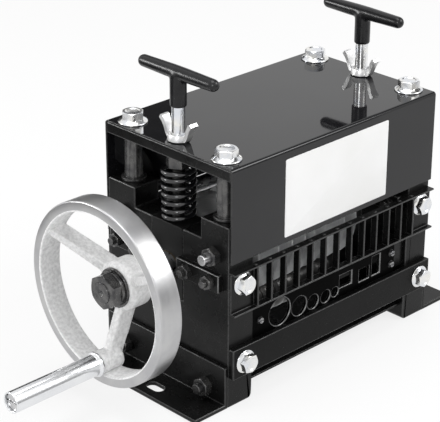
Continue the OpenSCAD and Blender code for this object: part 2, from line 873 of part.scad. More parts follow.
module t_grip() {
    axis_z = cover_z + t_rise;
    straight = t_len - t_bar_d;
    sleeve_h = t_rise - sleeve_rise;
    translate([plate_mid, 0, 0]) difference() {
        union() {
            translate([0, -straight/2, axis_z]) to_back() cylinder(d = t_bar_d, h = straight);
            for (y = [-straight/2, straight/2])
                translate([0, y, axis_z]) sphere(d = t_bar_d);
            translate([0, 0, cover_z + sleeve_rise]) cylinder(d = sleeve_d, h = sleeve_h - t_bar_d/4);
            translate([0, 0, axis_z]) sphere(d = sleeve_d);
        }
        translate([0, 0, cover_z + sleeve_rise - cut]) cylinder(d = screw_d, h = sleeve_h + cut);
    }
}

module t_grip_left() { color(black) at_end(-1) t_grip(); }
module t_grip_right() { color(black) at_end(1) t_grip(); }

// One ear: a flat strip that leans out from the base, drawn in X and Z.
module wing() {
    root = wing_base_d/2;
    tip = wing_span/2;
    to_front() linear_extrude(wing_w, center = true)
        polygon([[root - 1.5*wing_t, 0], [root - 0.5*wing_t, 0], [root + 0.4*wing_t, 0.4*wing_t],
            [tip, wing_h - 0.55*wing_t], [tip - 0.85*wing_t, wing_h],
            [root - 1.1*wing_t, wing_base_h - 0.4*wing_t]]);
}

module wing_nut(x) {
    translate([x, 0, cover_z + wing_seat]) rotate([0, 0, wing_turn]) difference() {
        union() {
            cylinder(d1 = wing_base_d, d2 = 0.92*wing_base_d, h = wing_base_h);
            wing();
            mirror([1, 0, 0]) wing();
        }
        translate([0, 0, -cut]) cylinder(r = screw_d/2 + thread_gap, h = wing_h + 2*cut);
    }
}

module wing_nut_left() { color(zinc) wing_nut(-plate_mid); }
module wing_nut_right() { color(zinc) wing_nut(plate_mid); }

// Cutter shaft

module key_bar(x0, x1, seat_r) {
    translate([x0, -key_w/2, shaft_z + seat_r - key_w/2]) cube([x1 - x0, key_w, key_w]);
}

module disc_key() { key_bar(stack_left, stack_right, shaft_d/2); }
module wheel_key() { key_bar(hub_front + 1, hub_back - 1, wheel_thread/2); }

module shaft_keys() {
    color(steel) {
        disc_key();
        wheel_key();
    }
}

module blade_shaft() {
    centre_d = 5;
    color(steel) difference() {
        union() {
            rod_x(-core_half, core_half, 0, shaft_z, shaft_d);
            rod_x(hub_back, body_l/2 + 2, 0, shaft_z, journal_d);
            rod_x(shaft_end, hub_back + cut, 0, shaft_z, wheel_thread);
        }
        disc_key();
        wheel_key();
        translate([shaft_end - cut, 0, shaft_z])
            to_right() cylinder(d1 = centre_d + 2*cut, d2 = 0, h = centre_d/2 + cut);
    }
}

module disc() {
    rotate_extrude() polygon([[shaft_d/2, -disc_t/2], [disc_d/2 - bevel_w, -disc_t/2], [disc_d/2, -edge_t/2],
        [disc_d/2, edge_t/2], [disc_d/2 - bevel_w, disc_t/2], [shaft_d/2, disc_t/2]]);
}

module cutting_discs() {
    color(steel) difference() {
        for (x = port_x)
            translate([x, 0, shaft_z]) to_right() disc();
        disc_key();
    }
}

// A plain ring on the shaft, from x0 to x1.
module shaft_ring(x0, x1, d, bore) {
    difference() {
        rod_x(x0, x1, 0, shaft_z, d);
        rod_x(x0 - cut, x1 + cut, 0, shaft_z, bore);
    }
}

module disc_spacers() {
    starts = [for (i = [-1 : len(port_x) - 1]) i < 0 ? stack_left : port_x[i] + disc_t/2];
    ends = [for (i = [0 : len(port_x)]) i < len(port_x) ? port_x[i] - disc_t/2 : stack_right];
    color(steel) difference() {
        for (i = [0 : len(port_x)])
            shaft_ring(starts[i], ends[i], spacer_d, shaft_d);
        disc_key();
    }
}

collar_at = [stack_left - collar_w, stack_right];

module grub_screw_bodies(gap) {
    for (x = collar_at) translate([x + collar_w/2, 0, shaft_z + shaft_d/2])
        cylinder(d = grub_d + gap, h = collar_d/2 - shaft_d/2 + gap);
}

module stop_collars() {
    color(oxide) difference() {
        for (x = collar_at)
            shaft_ring(x, x + collar_w, collar_d, shaft_d);
        grub_screw_bodies(hole_gap);
    }
}

module collar_screws() {
    color(oxide) intersection() {
        grub_screw_bodies(0);
        rod_x(-plate_in, plate_in, 0, shaft_z, collar_d - 1);
    }
}

module wheel_tube() {
    color(steel) shaft_ring(hub_back, -body_l/2 + slide_gap - end_play, tube_d, journal_d);
}

// Hand wheel and crank grip

module wheel_rim() {
    r0 = wheel_d/2 - rim_t;
    r1 = wheel_d/2;
    c = rim_chamfer;
    revolve_x(rim_front, shaft_z) polygon([[r0, c/2], [r0 + c/2, 0], [r1 - c, 0], [r1, c], [r1, rim_w - c],
        [r1 - c, rim_w], [r0 + c/2, rim_w], [r0, rim_w - c/2]]);
}

// A spoke along +Y that leans from the hub out to the rim and narrows towards it.
module spoke() {
    r0 = hub_d/2 - 4;
    r1 = wheel_d/2 - rim_t + 2;
    hub_x = hub_front + spoke_t*0.7;
    rim_x = (rim_front + rim_back)/2;
    intersection() {
        linear_extrude(2*spoke_in_w, center = true) polygon([[hub_x - spoke_t/2, r0], [rim_x - spoke_t/2, r1],
            [rim_x + spoke_t/2, r1], [hub_x + spoke_t/2, r0]]);
        extrude_x(rim_front, hub_back) polygon([[r0, -spoke_in_w/2], [r1, -spoke_out_w/2],
            [r1, spoke_out_w/2], [r0, spoke_in_w/2]]);
    }
}

module wheel_hub() {
    step = 0.6*hub_l;
    revolve_x(hub_front, shaft_z) polygon([[0, 0], [hub_d/2 - 3, 0], [hub_d/2, 3], [hub_d/2, step],
        [hub_d/2 - 4, step + 4], [hub_d/2 - 4, hub_l], [0, hub_l]]);
}

module hand_wheel() {
    color("silver") difference() {
        union() {
            wheel_rim();
            wheel_hub();
            for (turn = [-90, 30, 150])
                translate([0, 0, shaft_z]) rotate([turn, 0, 0]) spoke();
            rod_x(rim_front, rim_back, 0, shaft_z - crank_r, boss_d);
        }
        rod_x(hub_front - cut, hub_back + cut, 0, shaft_z, wheel_thread);
        wheel_key();
        rod_x(rim_front - cut, rim_back + cut, 0, shaft_z - crank_r, spindle_d);
    }
}

module hub_washer() {
    color(oxide) shaft_ring(hub_front - washer_t, hub_front, washer_d, wheel_thread + hole_gap);
}

module hub_spring_washer() {
    color(oxide) difference() {
        shaft_ring(nut_seat, nut_seat + split_t, 0.9*washer_d, wheel_thread + hole_gap);
        translate([nut_seat - cut, -0.75, shaft_z]) cube([split_t + 2*cut, 1.5, washer_d]);
    }
}

module hub_nut() {
    color(oxide) translate([nut_seat, 0, shaft_z])
        rotate([0, -90, 0]) hex_nut(wheel_thread, hub_nut_af, hub_nut_h, hole_gap);
}

module grip_spindle() {
    head_d = 0.8*grip_d;
    head_h = 3;
    head_x = grip_in - grip_l + 2;
    color(steel) difference() {
        union() {
            rod_x(head_x, rim_back, 0, shaft_z - crank_r, spindle_d);
            rod_x(head_x, head_x + head_h, 0, shaft_z - crank_r, head_d);
        }
        translate([head_x - cut, -head_d, shaft_z - crank_r - 0.8]) cube([cut + head_h/2, 2*head_d, 1.6]);
    }
}

module crank_grip() {
    head_room = 5.5;
    collar = 3;
    z = shaft_z - crank_r;
    color(zinc) difference() {
        union() {
            rod_x(grip_in - grip_l, grip_in, 0, z, grip_d);
            rod_x(grip_in - collar, grip_in, 0, z, 1.2*grip_d);
        }
        rod_x(grip_in - grip_l - cut, grip_in + cut, 0, z, spindle_d + 2*grip_gap);
        rod_x(grip_in - grip_l - cut, grip_in - grip_l + head_room, 0, z, 0.85*grip_d);
    }
}

// Feed roller

module roller_outline() {
    r = roller_d/2;
    grooves = [for (x = port_x) each [[r, x - groove_w/2], [r - groove_h, x], [r, x + groove_w/2]]];
    polygon(concat([[axle_d/2, -roller_half], [r, -roller_half]], grooves,
        [[r, roller_half], [axle_d/2, roller_half]]));
}

module feed_roller() {
    color(steel) revolve_x(0, roller_z) roller_outline();
}

module roller_axle() {
    color(steel) rod_x(-body_l/2, body_l/2, 0, roller_z, axle_d);
}

module roller_bushes() {
    color(bronze) both_ends() difference() {
        union() {
            rod_x(plate_in, body_l/2, 0, roller_z, roller_bush_d);
            rod_x(plate_in - roller_bush_wall, plate_in, 0, roller_z, roller_bush_d + 2*roller_bush_wall);
        }
        rod_x(plate_in - roller_bush_wall - cut, body_l/2 + cut, 0, roller_z, axle_d + 2*run_gap);
    }
}

end_plate_left();
end_plate_right();
top_plate();
cover_shell();
cover_posts();
top_bolts();
lift_nuts();
front_tie_bar();
rear_tie_bar();
tie_bar_bolts();
tie_rods();
tie_rod_nuts();
finger_guard();
rear_guard();
guard_bolts();
feed_plate();
feed_brackets();
feed_screws();
chute_tray();
foot_left();
foot_right();
foot_studs();
foot_nuts();
keeper_bars();
keeper_studs();
keeper_nuts();
roller_bushes();
spring_left();
spring_right();
bearing_block_left();
bearing_block_right();
shaft_bushes();
blade_shaft();
cutting_discs();
disc_spacers();
stop_collars();
collar_screws();
shaft_keys();
wheel_tube();
hand_wheel();
hub_washer();
hub_spring_washer();
hub_nut();
grip_spindle();
crank_grip();
feed_roller();
roller_axle();
screw_left();
screw_right();
t_grip_left();
t_grip_right();
wing_nut_left();
wing_nut_right();
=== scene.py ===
# %% [markdown]
# # A bench wire stripper, dressed for its picture
# The frame brings every solid at its real size, with its joints. This lesson gives the solids their
# finishes, rounds the edges that catch the light, and models again the pieces whose real form is richer
# than the solid: flange bolts, springs, dipped T-grips, wing nuts, the cast wheel and the chromed grip.
# Lengths are in metres. X runs along the machine, Y to its back and Z up.

# %% Load the frame
import json
import math

import bmesh
import bpy
from mathutils import Matrix, Quaternion, Vector

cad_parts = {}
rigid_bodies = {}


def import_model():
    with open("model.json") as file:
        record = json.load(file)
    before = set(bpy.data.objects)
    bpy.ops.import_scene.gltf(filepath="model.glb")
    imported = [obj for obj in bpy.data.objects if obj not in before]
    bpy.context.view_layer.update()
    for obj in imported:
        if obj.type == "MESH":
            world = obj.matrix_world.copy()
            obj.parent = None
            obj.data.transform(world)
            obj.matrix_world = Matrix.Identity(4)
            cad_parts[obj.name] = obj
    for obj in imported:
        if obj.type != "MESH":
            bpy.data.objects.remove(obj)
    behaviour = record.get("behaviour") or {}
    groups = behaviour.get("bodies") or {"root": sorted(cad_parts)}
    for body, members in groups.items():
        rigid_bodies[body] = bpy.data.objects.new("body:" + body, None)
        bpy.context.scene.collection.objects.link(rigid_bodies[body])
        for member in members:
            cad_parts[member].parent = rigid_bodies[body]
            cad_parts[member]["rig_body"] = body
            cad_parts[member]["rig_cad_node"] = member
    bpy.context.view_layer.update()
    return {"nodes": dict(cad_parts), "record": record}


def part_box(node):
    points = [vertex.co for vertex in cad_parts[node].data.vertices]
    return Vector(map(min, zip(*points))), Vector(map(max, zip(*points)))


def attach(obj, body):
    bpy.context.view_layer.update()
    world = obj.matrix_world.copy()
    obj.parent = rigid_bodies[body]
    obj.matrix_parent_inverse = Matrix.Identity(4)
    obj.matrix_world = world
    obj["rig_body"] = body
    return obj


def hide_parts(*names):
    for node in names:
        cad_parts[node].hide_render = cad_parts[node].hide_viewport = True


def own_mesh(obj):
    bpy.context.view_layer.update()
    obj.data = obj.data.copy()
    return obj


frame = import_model()
nodes = frame["nodes"]
bodies = frame["record"]["behaviour"]["bodies"]
body_of = {node: body for body, members in bodies.items() for node in members}
slot_of = {part["node"]: part["material_slot"] for part in frame["record"]["subparts"]}
MM = 0.001
X_AXIS = Vector((1, 0, 0))
Y_AXIS = Vector((0, 1, 0))
Z_AXIS = Vector((0, 0, 1))

# %% [markdown]
# ## Camera
# The picture is taken from the front left and from above, with a long lens. The lens and the eye were
# worked out from straight edges of the machine, so the render can be laid over the picture. A camera could
# also track an empty, but a fixed turn is easier to keep. The tiny roll is about the line of sight.

# %% Set up the camera
EYE = Vector((-877.8, -839.3, 661.5)) * MM
LOOK_DOWN = 24.725  # degrees, as are the next two
LOOK_ROUND = -44.383
ROLL = 0.173
LENS = 141.66  # millimetres, as is the sensor
SENSOR = 36
camera_data = bpy.data.cameras.new("picture_camera")
camera_data.lens = LENS
camera_data.sensor_width = SENSOR
camera_data.sensor_fit = "HORIZONTAL"
camera = bpy.data.objects.new("picture_camera", camera_data)
bpy.context.scene.collection.objects.link(camera)
swing = Matrix.Rotation(math.radians(LOOK_ROUND), 3, "Z")
tilt = Matrix.Rotation(math.radians(90 - LOOK_DOWN), 3, "X")
aim = swing @ tilt
camera.location = EYE
camera.rotation_euler = (aim.to_quaternion() @ Quaternion((0, 0, 1), math.radians(ROLL))).to_euler()
bpy.context.scene.camera = camera
bpy.context.scene.view_settings.view_transform = "Standard"
print("camera looks along", [round(v, 3) for v in aim @ -Z_AXIS])

# %% [markdown]
# ## Floor, world and lamps
# The machine stands on a white sweep in soft light. The lamps alone would leave the sweep grey at its edges,
# so camera, glossy and transmission rays see a plain white world, and the floor glows a little for the same
# rays only. The object itself is lit by the lamps and a dim world, and its shadow stays on the floor.

# %% World
DIM_WORLD = 0.42


def seen_directly(tree):
    """A factor that is 1 for camera, glossy and transmission rays and 0 for the light on the object."""
    path = tree.nodes.new("ShaderNodeLightPath")
    total = path.outputs["Is Camera Ray"]
    for name in ("Is Glossy Ray", "Is Transmission Ray"):
        either = tree.nodes.new("ShaderNodeMath")
        either.operation = "MAXIMUM"
        tree.links.new(total, either.inputs[0])
        tree.links.new(path.outputs[name], either.inputs[1])
        total = either.outputs[0]
    return total


world = bpy.data.worlds.new("white_studio")
bpy.context.scene.world = world
world.use_nodes = True
tree = world.node_tree
level = tree.nodes.new("ShaderNodeMapRange")
level.inputs["To Min"].default_value = DIM_WORLD
level.inputs["To Max"].default_value = 1.0
tree.links.new(seen_directly(tree), level.inputs["Value"])
backdrop = tree.nodes["Background"]
backdrop.inputs["Color"].default_value = (1, 1, 1, 1)
tree.links.new(level.outputs["Result"], backdrop.inputs["Strength"])
print("world:", DIM_WORLD, "on the object, 1.0 behind it")

# %% Floor
FLOOR_SIZE = 8.0
FLOOR_DROP = 0.2 * MM
FLOOR_SHADE = 0.86
FLOOR_GLOW = 0.8
bpy.ops.object.select_all(action="DESELECT")
bpy.ops.mesh.primitive_plane_add(size=FLOOR_SIZE, location=(0, 0, -FLOOR_DROP))
floor = bpy.context.object
floor.name = "studio_floor"
white_floor = bpy.data.materials.new("white_floor")
white_floor.use_nodes = True
tree = white_floor.node_tree
paper = tree.nodes["Principled BSDF"]
paper.inputs["Base Color"].default_value = (FLOOR_SHADE, FLOOR_SHADE, FLOOR_SHADE, 1)
paper.inputs["Roughness"].default_value = 0.9
paper.inputs["Specular IOR Level"].default_value = 0.0
glow = tree.nodes.new("ShaderNodeEmission")
share = tree.nodes.new("ShaderNodeMath")
share.operation = "MULTIPLY"
share.inputs[1].default_value = FLOOR_GLOW
tree.links.new(seen_directly(tree), share.inputs[0])
blend = tree.nodes.new("ShaderNodeMixShader")
tree.links.new(share.outputs[0], blend.inputs["Fac"])
tree.links.new(paper.outputs["BSDF"], blend.inputs[1])
tree.links.new(glow.outputs["Emission"], blend.inputs[2])
tree.links.new(blend.outputs["Shader"], tree.nodes["Material Output"].inputs["Surface"])
floor.data.materials.append(white_floor)
print("floor", FLOOR_SIZE, "m square")


# %% Lamps
def softbox(name, place, target, width, power):
    """A square area lamp that faces a target."""
    lamp = bpy.data.lights.new(name, "AREA")
    lamp.size = width
    lamp.energy = power
    holder = bpy.data.objects.new(name, lamp)
    holder.location = place
    holder.rotation_euler = (Vector(target) - Vector(place)).to_track_quat("-Z", "Y").to_euler()
    bpy.context.scene.collection.objects.link(holder)


MIDDLE = (0, 0, 0.1)
softbox("key_right_front", (0.9, -1.2, 1.3), MIDDLE, 0.9, 17)
softbox("overhead", (-0.1, 0.1, 1.9), MIDDLE, 1.2, 17)
softbox("fill_left_front", (-1.3, -0.7, 0.7), MIDDLE, 0.35, 5)
softbox("rim_left_back", (-1.1, 1.15, 0.55), MIDDLE, 0.36, 7)
print("four softboxes")


# %% [markdown]
# ## Dark cards
# Polished metal shows its surroundings, and all-white surroundings make chrome look like white plastic. In a
# studio, dark cards stand just outside the picture. Five of these are seen by glossy rays alone, so they put
# dark streaks on the chrome, the zinc and the end plates, and shade nothing. A sixth is a painted shadow: a
# dark sheet on the floor under the machine, seen by the camera alone, because the glowing white floor would
# otherwise shine up through the feed ports.

# %% Place the cards
REFLECTION_ONLY = ("camera", "diffuse", "transmission", "volume_scatter", "shadow")


def dark_card(name, place, target, width, height, shade, hidden_from=REFLECTION_ONLY):
    """A plain dark card. Most are seen by reflections alone."""
    bpy.ops.object.select_all(action="DESELECT")
    bpy.ops.mesh.primitive_plane_add(size=1)
    card = bpy.context.object
    card.name = name
    card.scale = (width, height, 1)
    card.location = place
    card.rotation_euler = (Vector(target) - Vector(place)).to_track_quat("Z", "Y").to_euler()
    for kind in hidden_from:
        setattr(card, "visible_" + kind, False)
    cloth = bpy.data.materials.new(name)
    cloth.use_nodes = True
    cloth.node_tree.nodes.remove(cloth.node_tree.nodes["Principled BSDF"])
    dim = cloth.node_tree.nodes.new("ShaderNodeEmission")
    dim.inputs["Color"].default_value = (shade, shade, shade, 1)
    cloth.node_tree.links.new(dim.outputs[0], cloth.node_tree.nodes["Material Output"].inputs["Surface"])
    card.data.materials.append(cloth)


dark_card("card_over_grip", (0.75, -0.12, 0.98), (-0.2, 0, 0.05), 0.34, 1.6, 0.03)
dark_card("card_left_back", (-0.75, 0.62, 0.02), (-0.75, 0.62, 1), 1.0, 0.7, 0.12)
dark_card("card_right_back", (0.27, 0.756, 0.28), (-0.2, 0, 0.28), 0.5, 0.56, 0.06)
dark_card("card_front_right", (0.26, -0.75, 0.14), (-0.2, 0, 0.14), 0.7, 0.36, 0.4)
dark_card("card_beside_screws", (0.02, 0.17, 0.39), (-1, 0.17, 0.39), 0.38, 0.2, 0.3)
# A painted shadow: the floor under the machine is dark for the camera alone.
dark_card("painted_shadow_under_machine", (0, 0.03, 0), (0, 0.03, 1), 0.168, 0.064, 0.004,
          hidden_from=("shadow", "glossy", "diffuse"))
print("six dark cards")


# %% [markdown]
# ## Tools for the finishes
# Each finish is a Principled shader with noise on Object coordinates. An object here sits at the origin, so
# these coordinates are metres in the machine's own frame and the grain keeps its real size on every piece.
# Image textures would need files and unwrapped faces, and noise needs neither.

# %% A new finish and its patterns
def new_finish(name, **sockets):
    """A material whose Principled sockets take the given numbers."""
    material = bpy.data.materials.new(name)
    material.use_nodes = True
    shader = material.node_tree.nodes["Principled BSDF"]
    for socket, value in sockets.items():
        shader.inputs[socket.replace("_", " ")].default_value = value
    return material


def grain(material, scale, detail=3, stretch=(1, 1, 1)):
    """Noise on Object coordinates, in grains a metre, stretched by a Mapping node."""
    tree = material.node_tree
    place = tree.nodes.new("ShaderNodeTexCoord")
    turn = tree.nodes.new("ShaderNodeMapping")
    turn.inputs["Scale"].default_value = stretch
    noise = tree.nodes.new("ShaderNodeTexNoise")
    noise.inputs["Scale"].default_value = scale
    noise.inputs["Detail"].default_value = detail
    tree.links.new(place.outputs["Object"], turn.inputs["Vector"])
    tree.links.new(turn.outputs["Vector"], noise.inputs["Vector"])
    return noise.outputs["Fac"]


def rings(material, axis_place, axis, scale):
    """Fine tool marks in circles about an axis: noise along the distance from it."""
    tree = material.node_tree
    place = tree.nodes.new("ShaderNodeTexCoord")
    shift = tree.nodes.new("ShaderNodeMapping")
    shift.inputs["Location"].default_value = -Vector(axis_place)
    across = tree.nodes.new("ShaderNodeVectorMath")
    across.operation = "MULTIPLY"
    across.inputs[1].default_value = Vector((1, 1, 1)) - Vector(axis)
    distance = tree.nodes.new("ShaderNodeVectorMath")
    distance.operation = "LENGTH"
    noise = tree.nodes.new("ShaderNodeTexNoise")
    noise.noise_dimensions = "1D"
    noise.inputs["Scale"].default_value = scale
    tree.links.new(place.outputs["Object"], shift.inputs["Vector"])
    tree.links.new(shift.outputs["Vector"], across.inputs[0])
    tree.links.new(across.outputs["Vector"], distance.inputs[0])
    tree.links.new(distance.outputs["Value"], noise.inputs["W"])
    return noise.outputs["Fac"]


print("patterns: grain and rings")

# %% What a pattern drives
TINT_SPAN = (0.35, 0.65)
GLOSS_SPAN = (0.3, 0.7)


def tint(material, factor, dark, light):
    """Base colour that drifts from dark to light with a pattern."""
    ramp = material.node_tree.nodes.new("ShaderNodeValToRGB")
    first, last = ramp.color_ramp.elements
    first.position, last.position = TINT_SPAN
    first.color, last.color = (*dark, 1), (*light, 1)
    material.node_tree.links.new(factor, ramp.inputs["Fac"])
    shader = material.node_tree.nodes["Principled BSDF"]
    material.node_tree.links.new(ramp.outputs["Color"], shader.inputs["Base Color"])


def gloss(material, factor, smooth, rough):
    """Roughness that drifts between two values with a pattern."""
    span = material.node_tree.nodes.new("ShaderNodeMapRange")
    span.inputs["From Min"].default_value = GLOSS_SPAN[0]
    span.inputs["From Max"].default_value = GLOSS_SPAN[1]
    span.inputs["To Min"].default_value = smooth
    span.inputs["To Max"].default_value = rough
    material.node_tree.links.new(factor, span.inputs["Value"])
    shader = material.node_tree.nodes["Principled BSDF"]
    material.node_tree.links.new(span.outputs["Result"], shader.inputs["Roughness"])


def relief(material, factor, depth):
    """Bump of a real depth in metres."""
    bump = material.node_tree.nodes.new("ShaderNodeBump")
    bump.inputs["Strength"].default_value = 1.0
    bump.inputs["Distance"].default_value = depth
    material.node_tree.links.new(factor, bump.inputs["Height"])
    shader = material.node_tree.nodes["Principled BSDF"]
    material.node_tree.links.new(bump.outputs["Normal"], shader.inputs["Normal"])


def grained(name, colour, shine, bump=None, **sockets):
    """A finish with noise in its colour (scale, dark, light), its gloss (scale, smooth, rough) and its relief
    (scale, depth). What follows these numbers goes to grain, as its detail and its stretch."""
    material = new_finish(name, **sockets)
    scale, dark, light, *more = colour
    tint(material, grain(material, scale, *more), dark, light)
    scale, smooth, rough = shine
    gloss(material, grain(material, scale), smooth, rough)
    if bump:
        scale, depth, *more = bump
        relief(material, grain(material, scale, *more), depth)
    return material


print("patterns drive colour, gloss and relief")


# %% [markdown]
# ## Black finishes
# The end plates, bars and feet have a satin powder coat with a faint orange peel. The cover is sprayed and
# shiny, and mirrors the bolts that stand on it. Fasteners under load are black oxide, which is steel that
# still looks a little like metal, and the springs are lacquered. The T-grips are dipped in soft vinyl. Edges
# have a lighter, shinier finish of their own, which is a painted highlight along each edge. One black for all
# would be quicker, but black pieces are told apart by their gloss alone.

# %% Coats and paint
def powder_coat(name, shade, smooth, rough, peel, shine=0.17):
    return grained(name, (45, (0.8 * shade,) * 3, (1.25 * shade,) * 3), (130, smooth, rough), (650, peel, 1),
                   Specular_IOR_Level=shine)


# An edge finish is lighter and shinier than its coat: a painted highlight along the edge.
def painted_edge_highlight(name, shade, metal):
    return grained(name, (220, (0.7 * shade,) * 3, (1.2 * shade,) * 3), (150, 0.22, 0.34),
                   Metallic=metal, Specular_IOR_Level=0.5)


cover_paint = grained("glossy_cover_paint", (12, (0.006, 0.006, 0.007), (0.01, 0.01, 0.011)),
                      (30, 0.03, 0.06), (260, 0.002 * MM, 1), Specular_IOR_Level=0.37)
# Two painted edge highlights: a dark one for coats, and a brighter one for the keeper bars and feed ports.
highlight_on_coat = painted_edge_highlight("highlight_on_coat", 0.03, 0.2)
bright_highlight_edge = painted_edge_highlight("bright_highlight_edge", 0.16, 0.8)
edge_highlight_of_slot = {"black_powder": highlight_on_coat, "cover_black": highlight_on_coat, "guard_black": highlight_on_coat}
edge_highlight_of_node = {"keeper_bars": bright_highlight_edge}
print("powder coat and paint, with two finishes for their edges")

# %% Oxide, lacquer and vinyl
oxide = grained("black_oxide", (160, (0.06, 0.06, 0.062), (0.13, 0.128, 0.126)),
                (300, 0.18, 0.3), (1800, 0.006 * MM), Metallic=0.75)
lacquer = grained("spring_lacquer", (90, (0.005, 0.005, 0.006), (0.01, 0.01, 0.011)),
                  (200, 0.06, 0.12), (700, 0.01 * MM), Specular_IOR_Level=0.85)
vinyl = grained("dipped_vinyl", (70, (0.006, 0.006, 0.007), (0.012, 0.012, 0.013)),
                (120, 0.2, 0.28), (400, 0.002 * MM, 1), Specular_IOR_Level=0.32)
finish_of_slot = {
    "black_powder": powder_coat("satin_powder_coat", 0.005, 0.24, 0.34, 0.008 * MM),
    "cover_black": cover_paint,
    "guard_black": powder_coat("guard_powder_coat", 0.005, 0.2, 0.3, 0.006 * MM),
    "block_iron": powder_coat("phosphated_iron", 0.007, 0.3, 0.42, 0.015 * MM),
    "black_oxide": oxide,
    "spring_black": lacquer,
    "dipped_vinyl": vinyl,
}
print(len(finish_of_slot), "black finishes")

# %% [markdown]
# ## Bright finishes
# Zinc plate is a bright metal with a slight bluish and straw drift. The discs are ground in circles about the
# shaft, which draws each highlight out across the circles: a radial Tangent with a high Anisotropic does that
# without any bump. The feed roller and the screw threads are a dark steel. The spacers are a lighter, half
# matt steel, a painted glint between the discs. The wheel is cast aluminium, matt and speckled from the sand,
# with a machined rim that stays as cast on its inside, where a lighter copy of the cast finish paints light
# into the rim's shade. The grip is chrome, and the bushes are bronze. Metal takes its colour from Base Color
# at full Metallic. Matt pieces get less of it, or they would turn dark wherever they face a black plate.

# %% Zinc and steel
LENGTHWISE = (1, 0.06, 0.06)
bright_zinc = grained("bright_zinc_plate", (120, (0.72, 0.74, 0.78), (0.84, 0.83, 0.8)),
                      (260, 0.14, 0.26), (1500, 0.006 * MM), Metallic=1.0)
dull_zinc = grained("dull_zinc_plate", (160, (0.2, 0.2, 0.21), (0.36, 0.36, 0.35)),
                    (260, 0.26, 0.4), Metallic=1.0)
pressed_zinc = grained("pressed_zinc", (140, (0.66, 0.66, 0.67), (0.8, 0.8, 0.79)),
                       (260, 0.28, 0.4), (900, 0.01 * MM), Metallic=0.7)
turned_steel = grained("turned_steel", (60, (0.5, 0.5, 0.51), (0.62, 0.62, 0.62)),
                       (220, 0.22, 0.36), (2400, 0.008 * MM, 3, LENGTHWISE), Metallic=1.0)
# A plain dark steel for the feed roller and the screw threads.
dark_steel = grained("dark_steel", (60, (0.05, 0.05, 0.05), (0.09, 0.088, 0.085)),
                      (220, 0.28, 0.4), (2400, 0.004 * MM, 3, LENGTHWISE), Metallic=1.0)
print("zinc bright, dull and pressed, and steel turned and dark")

# %% Ground discs and spacers
SHAFT_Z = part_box("hub_nut")[0].lerp(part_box("hub_nut")[1], 0.5).z
SHAFT_LINE = (0, 0, SHAFT_Z)
disc_steel = new_finish("ground_disc_steel", Metallic=1.0, Anisotropic=0.95, Anisotropic_Rotation=0.25)
circles = rings(disc_steel, SHAFT_LINE, X_AXIS, 1500)
tint(disc_steel, circles, (0.8, 0.81, 0.82), (0.9, 0.9, 0.9))
gloss(disc_steel, circles, 0.4, 0.5)
round_axis = disc_steel.node_tree.nodes.new("ShaderNodeTangent")
round_axis.direction_type = "RADIAL"
round_axis.axis = "X"
shader = disc_steel.node_tree.nodes["Principled BSDF"]
disc_steel.node_tree.links.new(round_axis.outputs["Tangent"], shader.inputs["Tangent"])
# A lighter, half matt copy of ground steel for the spacers: painted glints between the discs.
spacer_painted_glint = grained("ground_spacer_steel", (60, (0.78, 0.78, 0.79), (0.88, 0.88, 0.88)),
                       (220, 0.24, 0.34), Metallic=0.4)
print("discs ground about the shaft, at", round(SHAFT_Z / MM, 1), "mm")


# %% Wheel, grip and bushes
def cast_aluminium(name, metal, shade):
    return grained(name, (420, (0.77 * shade,) * 3, (shade,) * 3, 6), (380, 0.45, 0.62), (900, 0.04 * MM, 5),
                   Metallic=metal)


wheel_finish = cast_aluminium("cast_aluminium", 0.15, 0.8)
# A lighter, less metallic copy of the cast finish: painted light on the rim's shaded inside and back.
rim_inside_painted_light = cast_aluminium("cast_rim_inside", 0.05, 0.95)
rim_finish = new_finish("machined_aluminium", Metallic=1.0)
tool_marks = grain(rim_finish, 2600, stretch=(1, 0.003, 0.003))
tint(rim_finish, grain(rim_finish, 60), (0.46, 0.46, 0.47), (0.53, 0.53, 0.53))
gloss(rim_finish, tool_marks, 0.3, 0.42)
relief(rim_finish, tool_marks, 0.004 * MM)
chrome = grained("chrome_plate", (50, (0.76, 0.77, 0.79), (0.82, 0.83, 0.84)),
                 (140, 0.17, 0.23), (500, 0.002 * MM), Metallic=1.0)
bronze = grained("sintered_bronze", (300, (0.07, 0.055, 0.036), (0.13, 0.1, 0.066), 6),
                 (500, 0.35, 0.52), (2000, 0.012 * MM), Metallic=1.0)
print("aluminium cast and machined, chrome and bronze")

# %% [markdown]
# ## A finish for every solid
# The record gives each solid a material slot, so one table from slot to finish would dress them all. A few
# pieces differ from the rest of their slot: the roller is dark steel, the posts are blackened, and the feed
# plate and the bar below it are darker, duller copies of the end plates' coat, a painted shade that is
# deepest on the feed plate under the guard.

# %% Dress the solids
finish_of_slot.update({
    "bright_zinc": bright_zinc, "bare_steel": turned_steel, "disc_steel": disc_steel,
    "cast_aluminium": wheel_finish, "grip_chrome": chrome, "bronze": bronze,
})
own_finish = {
    "feed_roller": dark_steel, "feed_screws": dull_zinc, "disc_spacers": spacer_painted_glint, "cover_posts": oxide,
    # Darker, duller copies of the powder coat: painted shade on the feed plate and, less, on the front bar.
    "feed_plate": powder_coat("painted_shade_coat", 0.0012, 0.3, 0.4, 0.008 * MM, shine=0.015),
    "front_tie_bar": powder_coat("bar_painted_shade_coat", 0.003, 0.24, 0.34, 0.008 * MM, shine=0.1),
}
for name, solid in nodes.items():
    solid.data.materials.clear()
    solid.data.materials.append(own_finish.get(name, finish_of_slot[slot_of[name]]))
print("finishes on", len(nodes), "solids")


# %% [markdown]
# ## Tools for modelling
# Every operator works on what is selected, and the imported solids start out selected. So each helper first
# clears the selection, then picks one piece. Faces and edges are picked in code, by their place or normal.

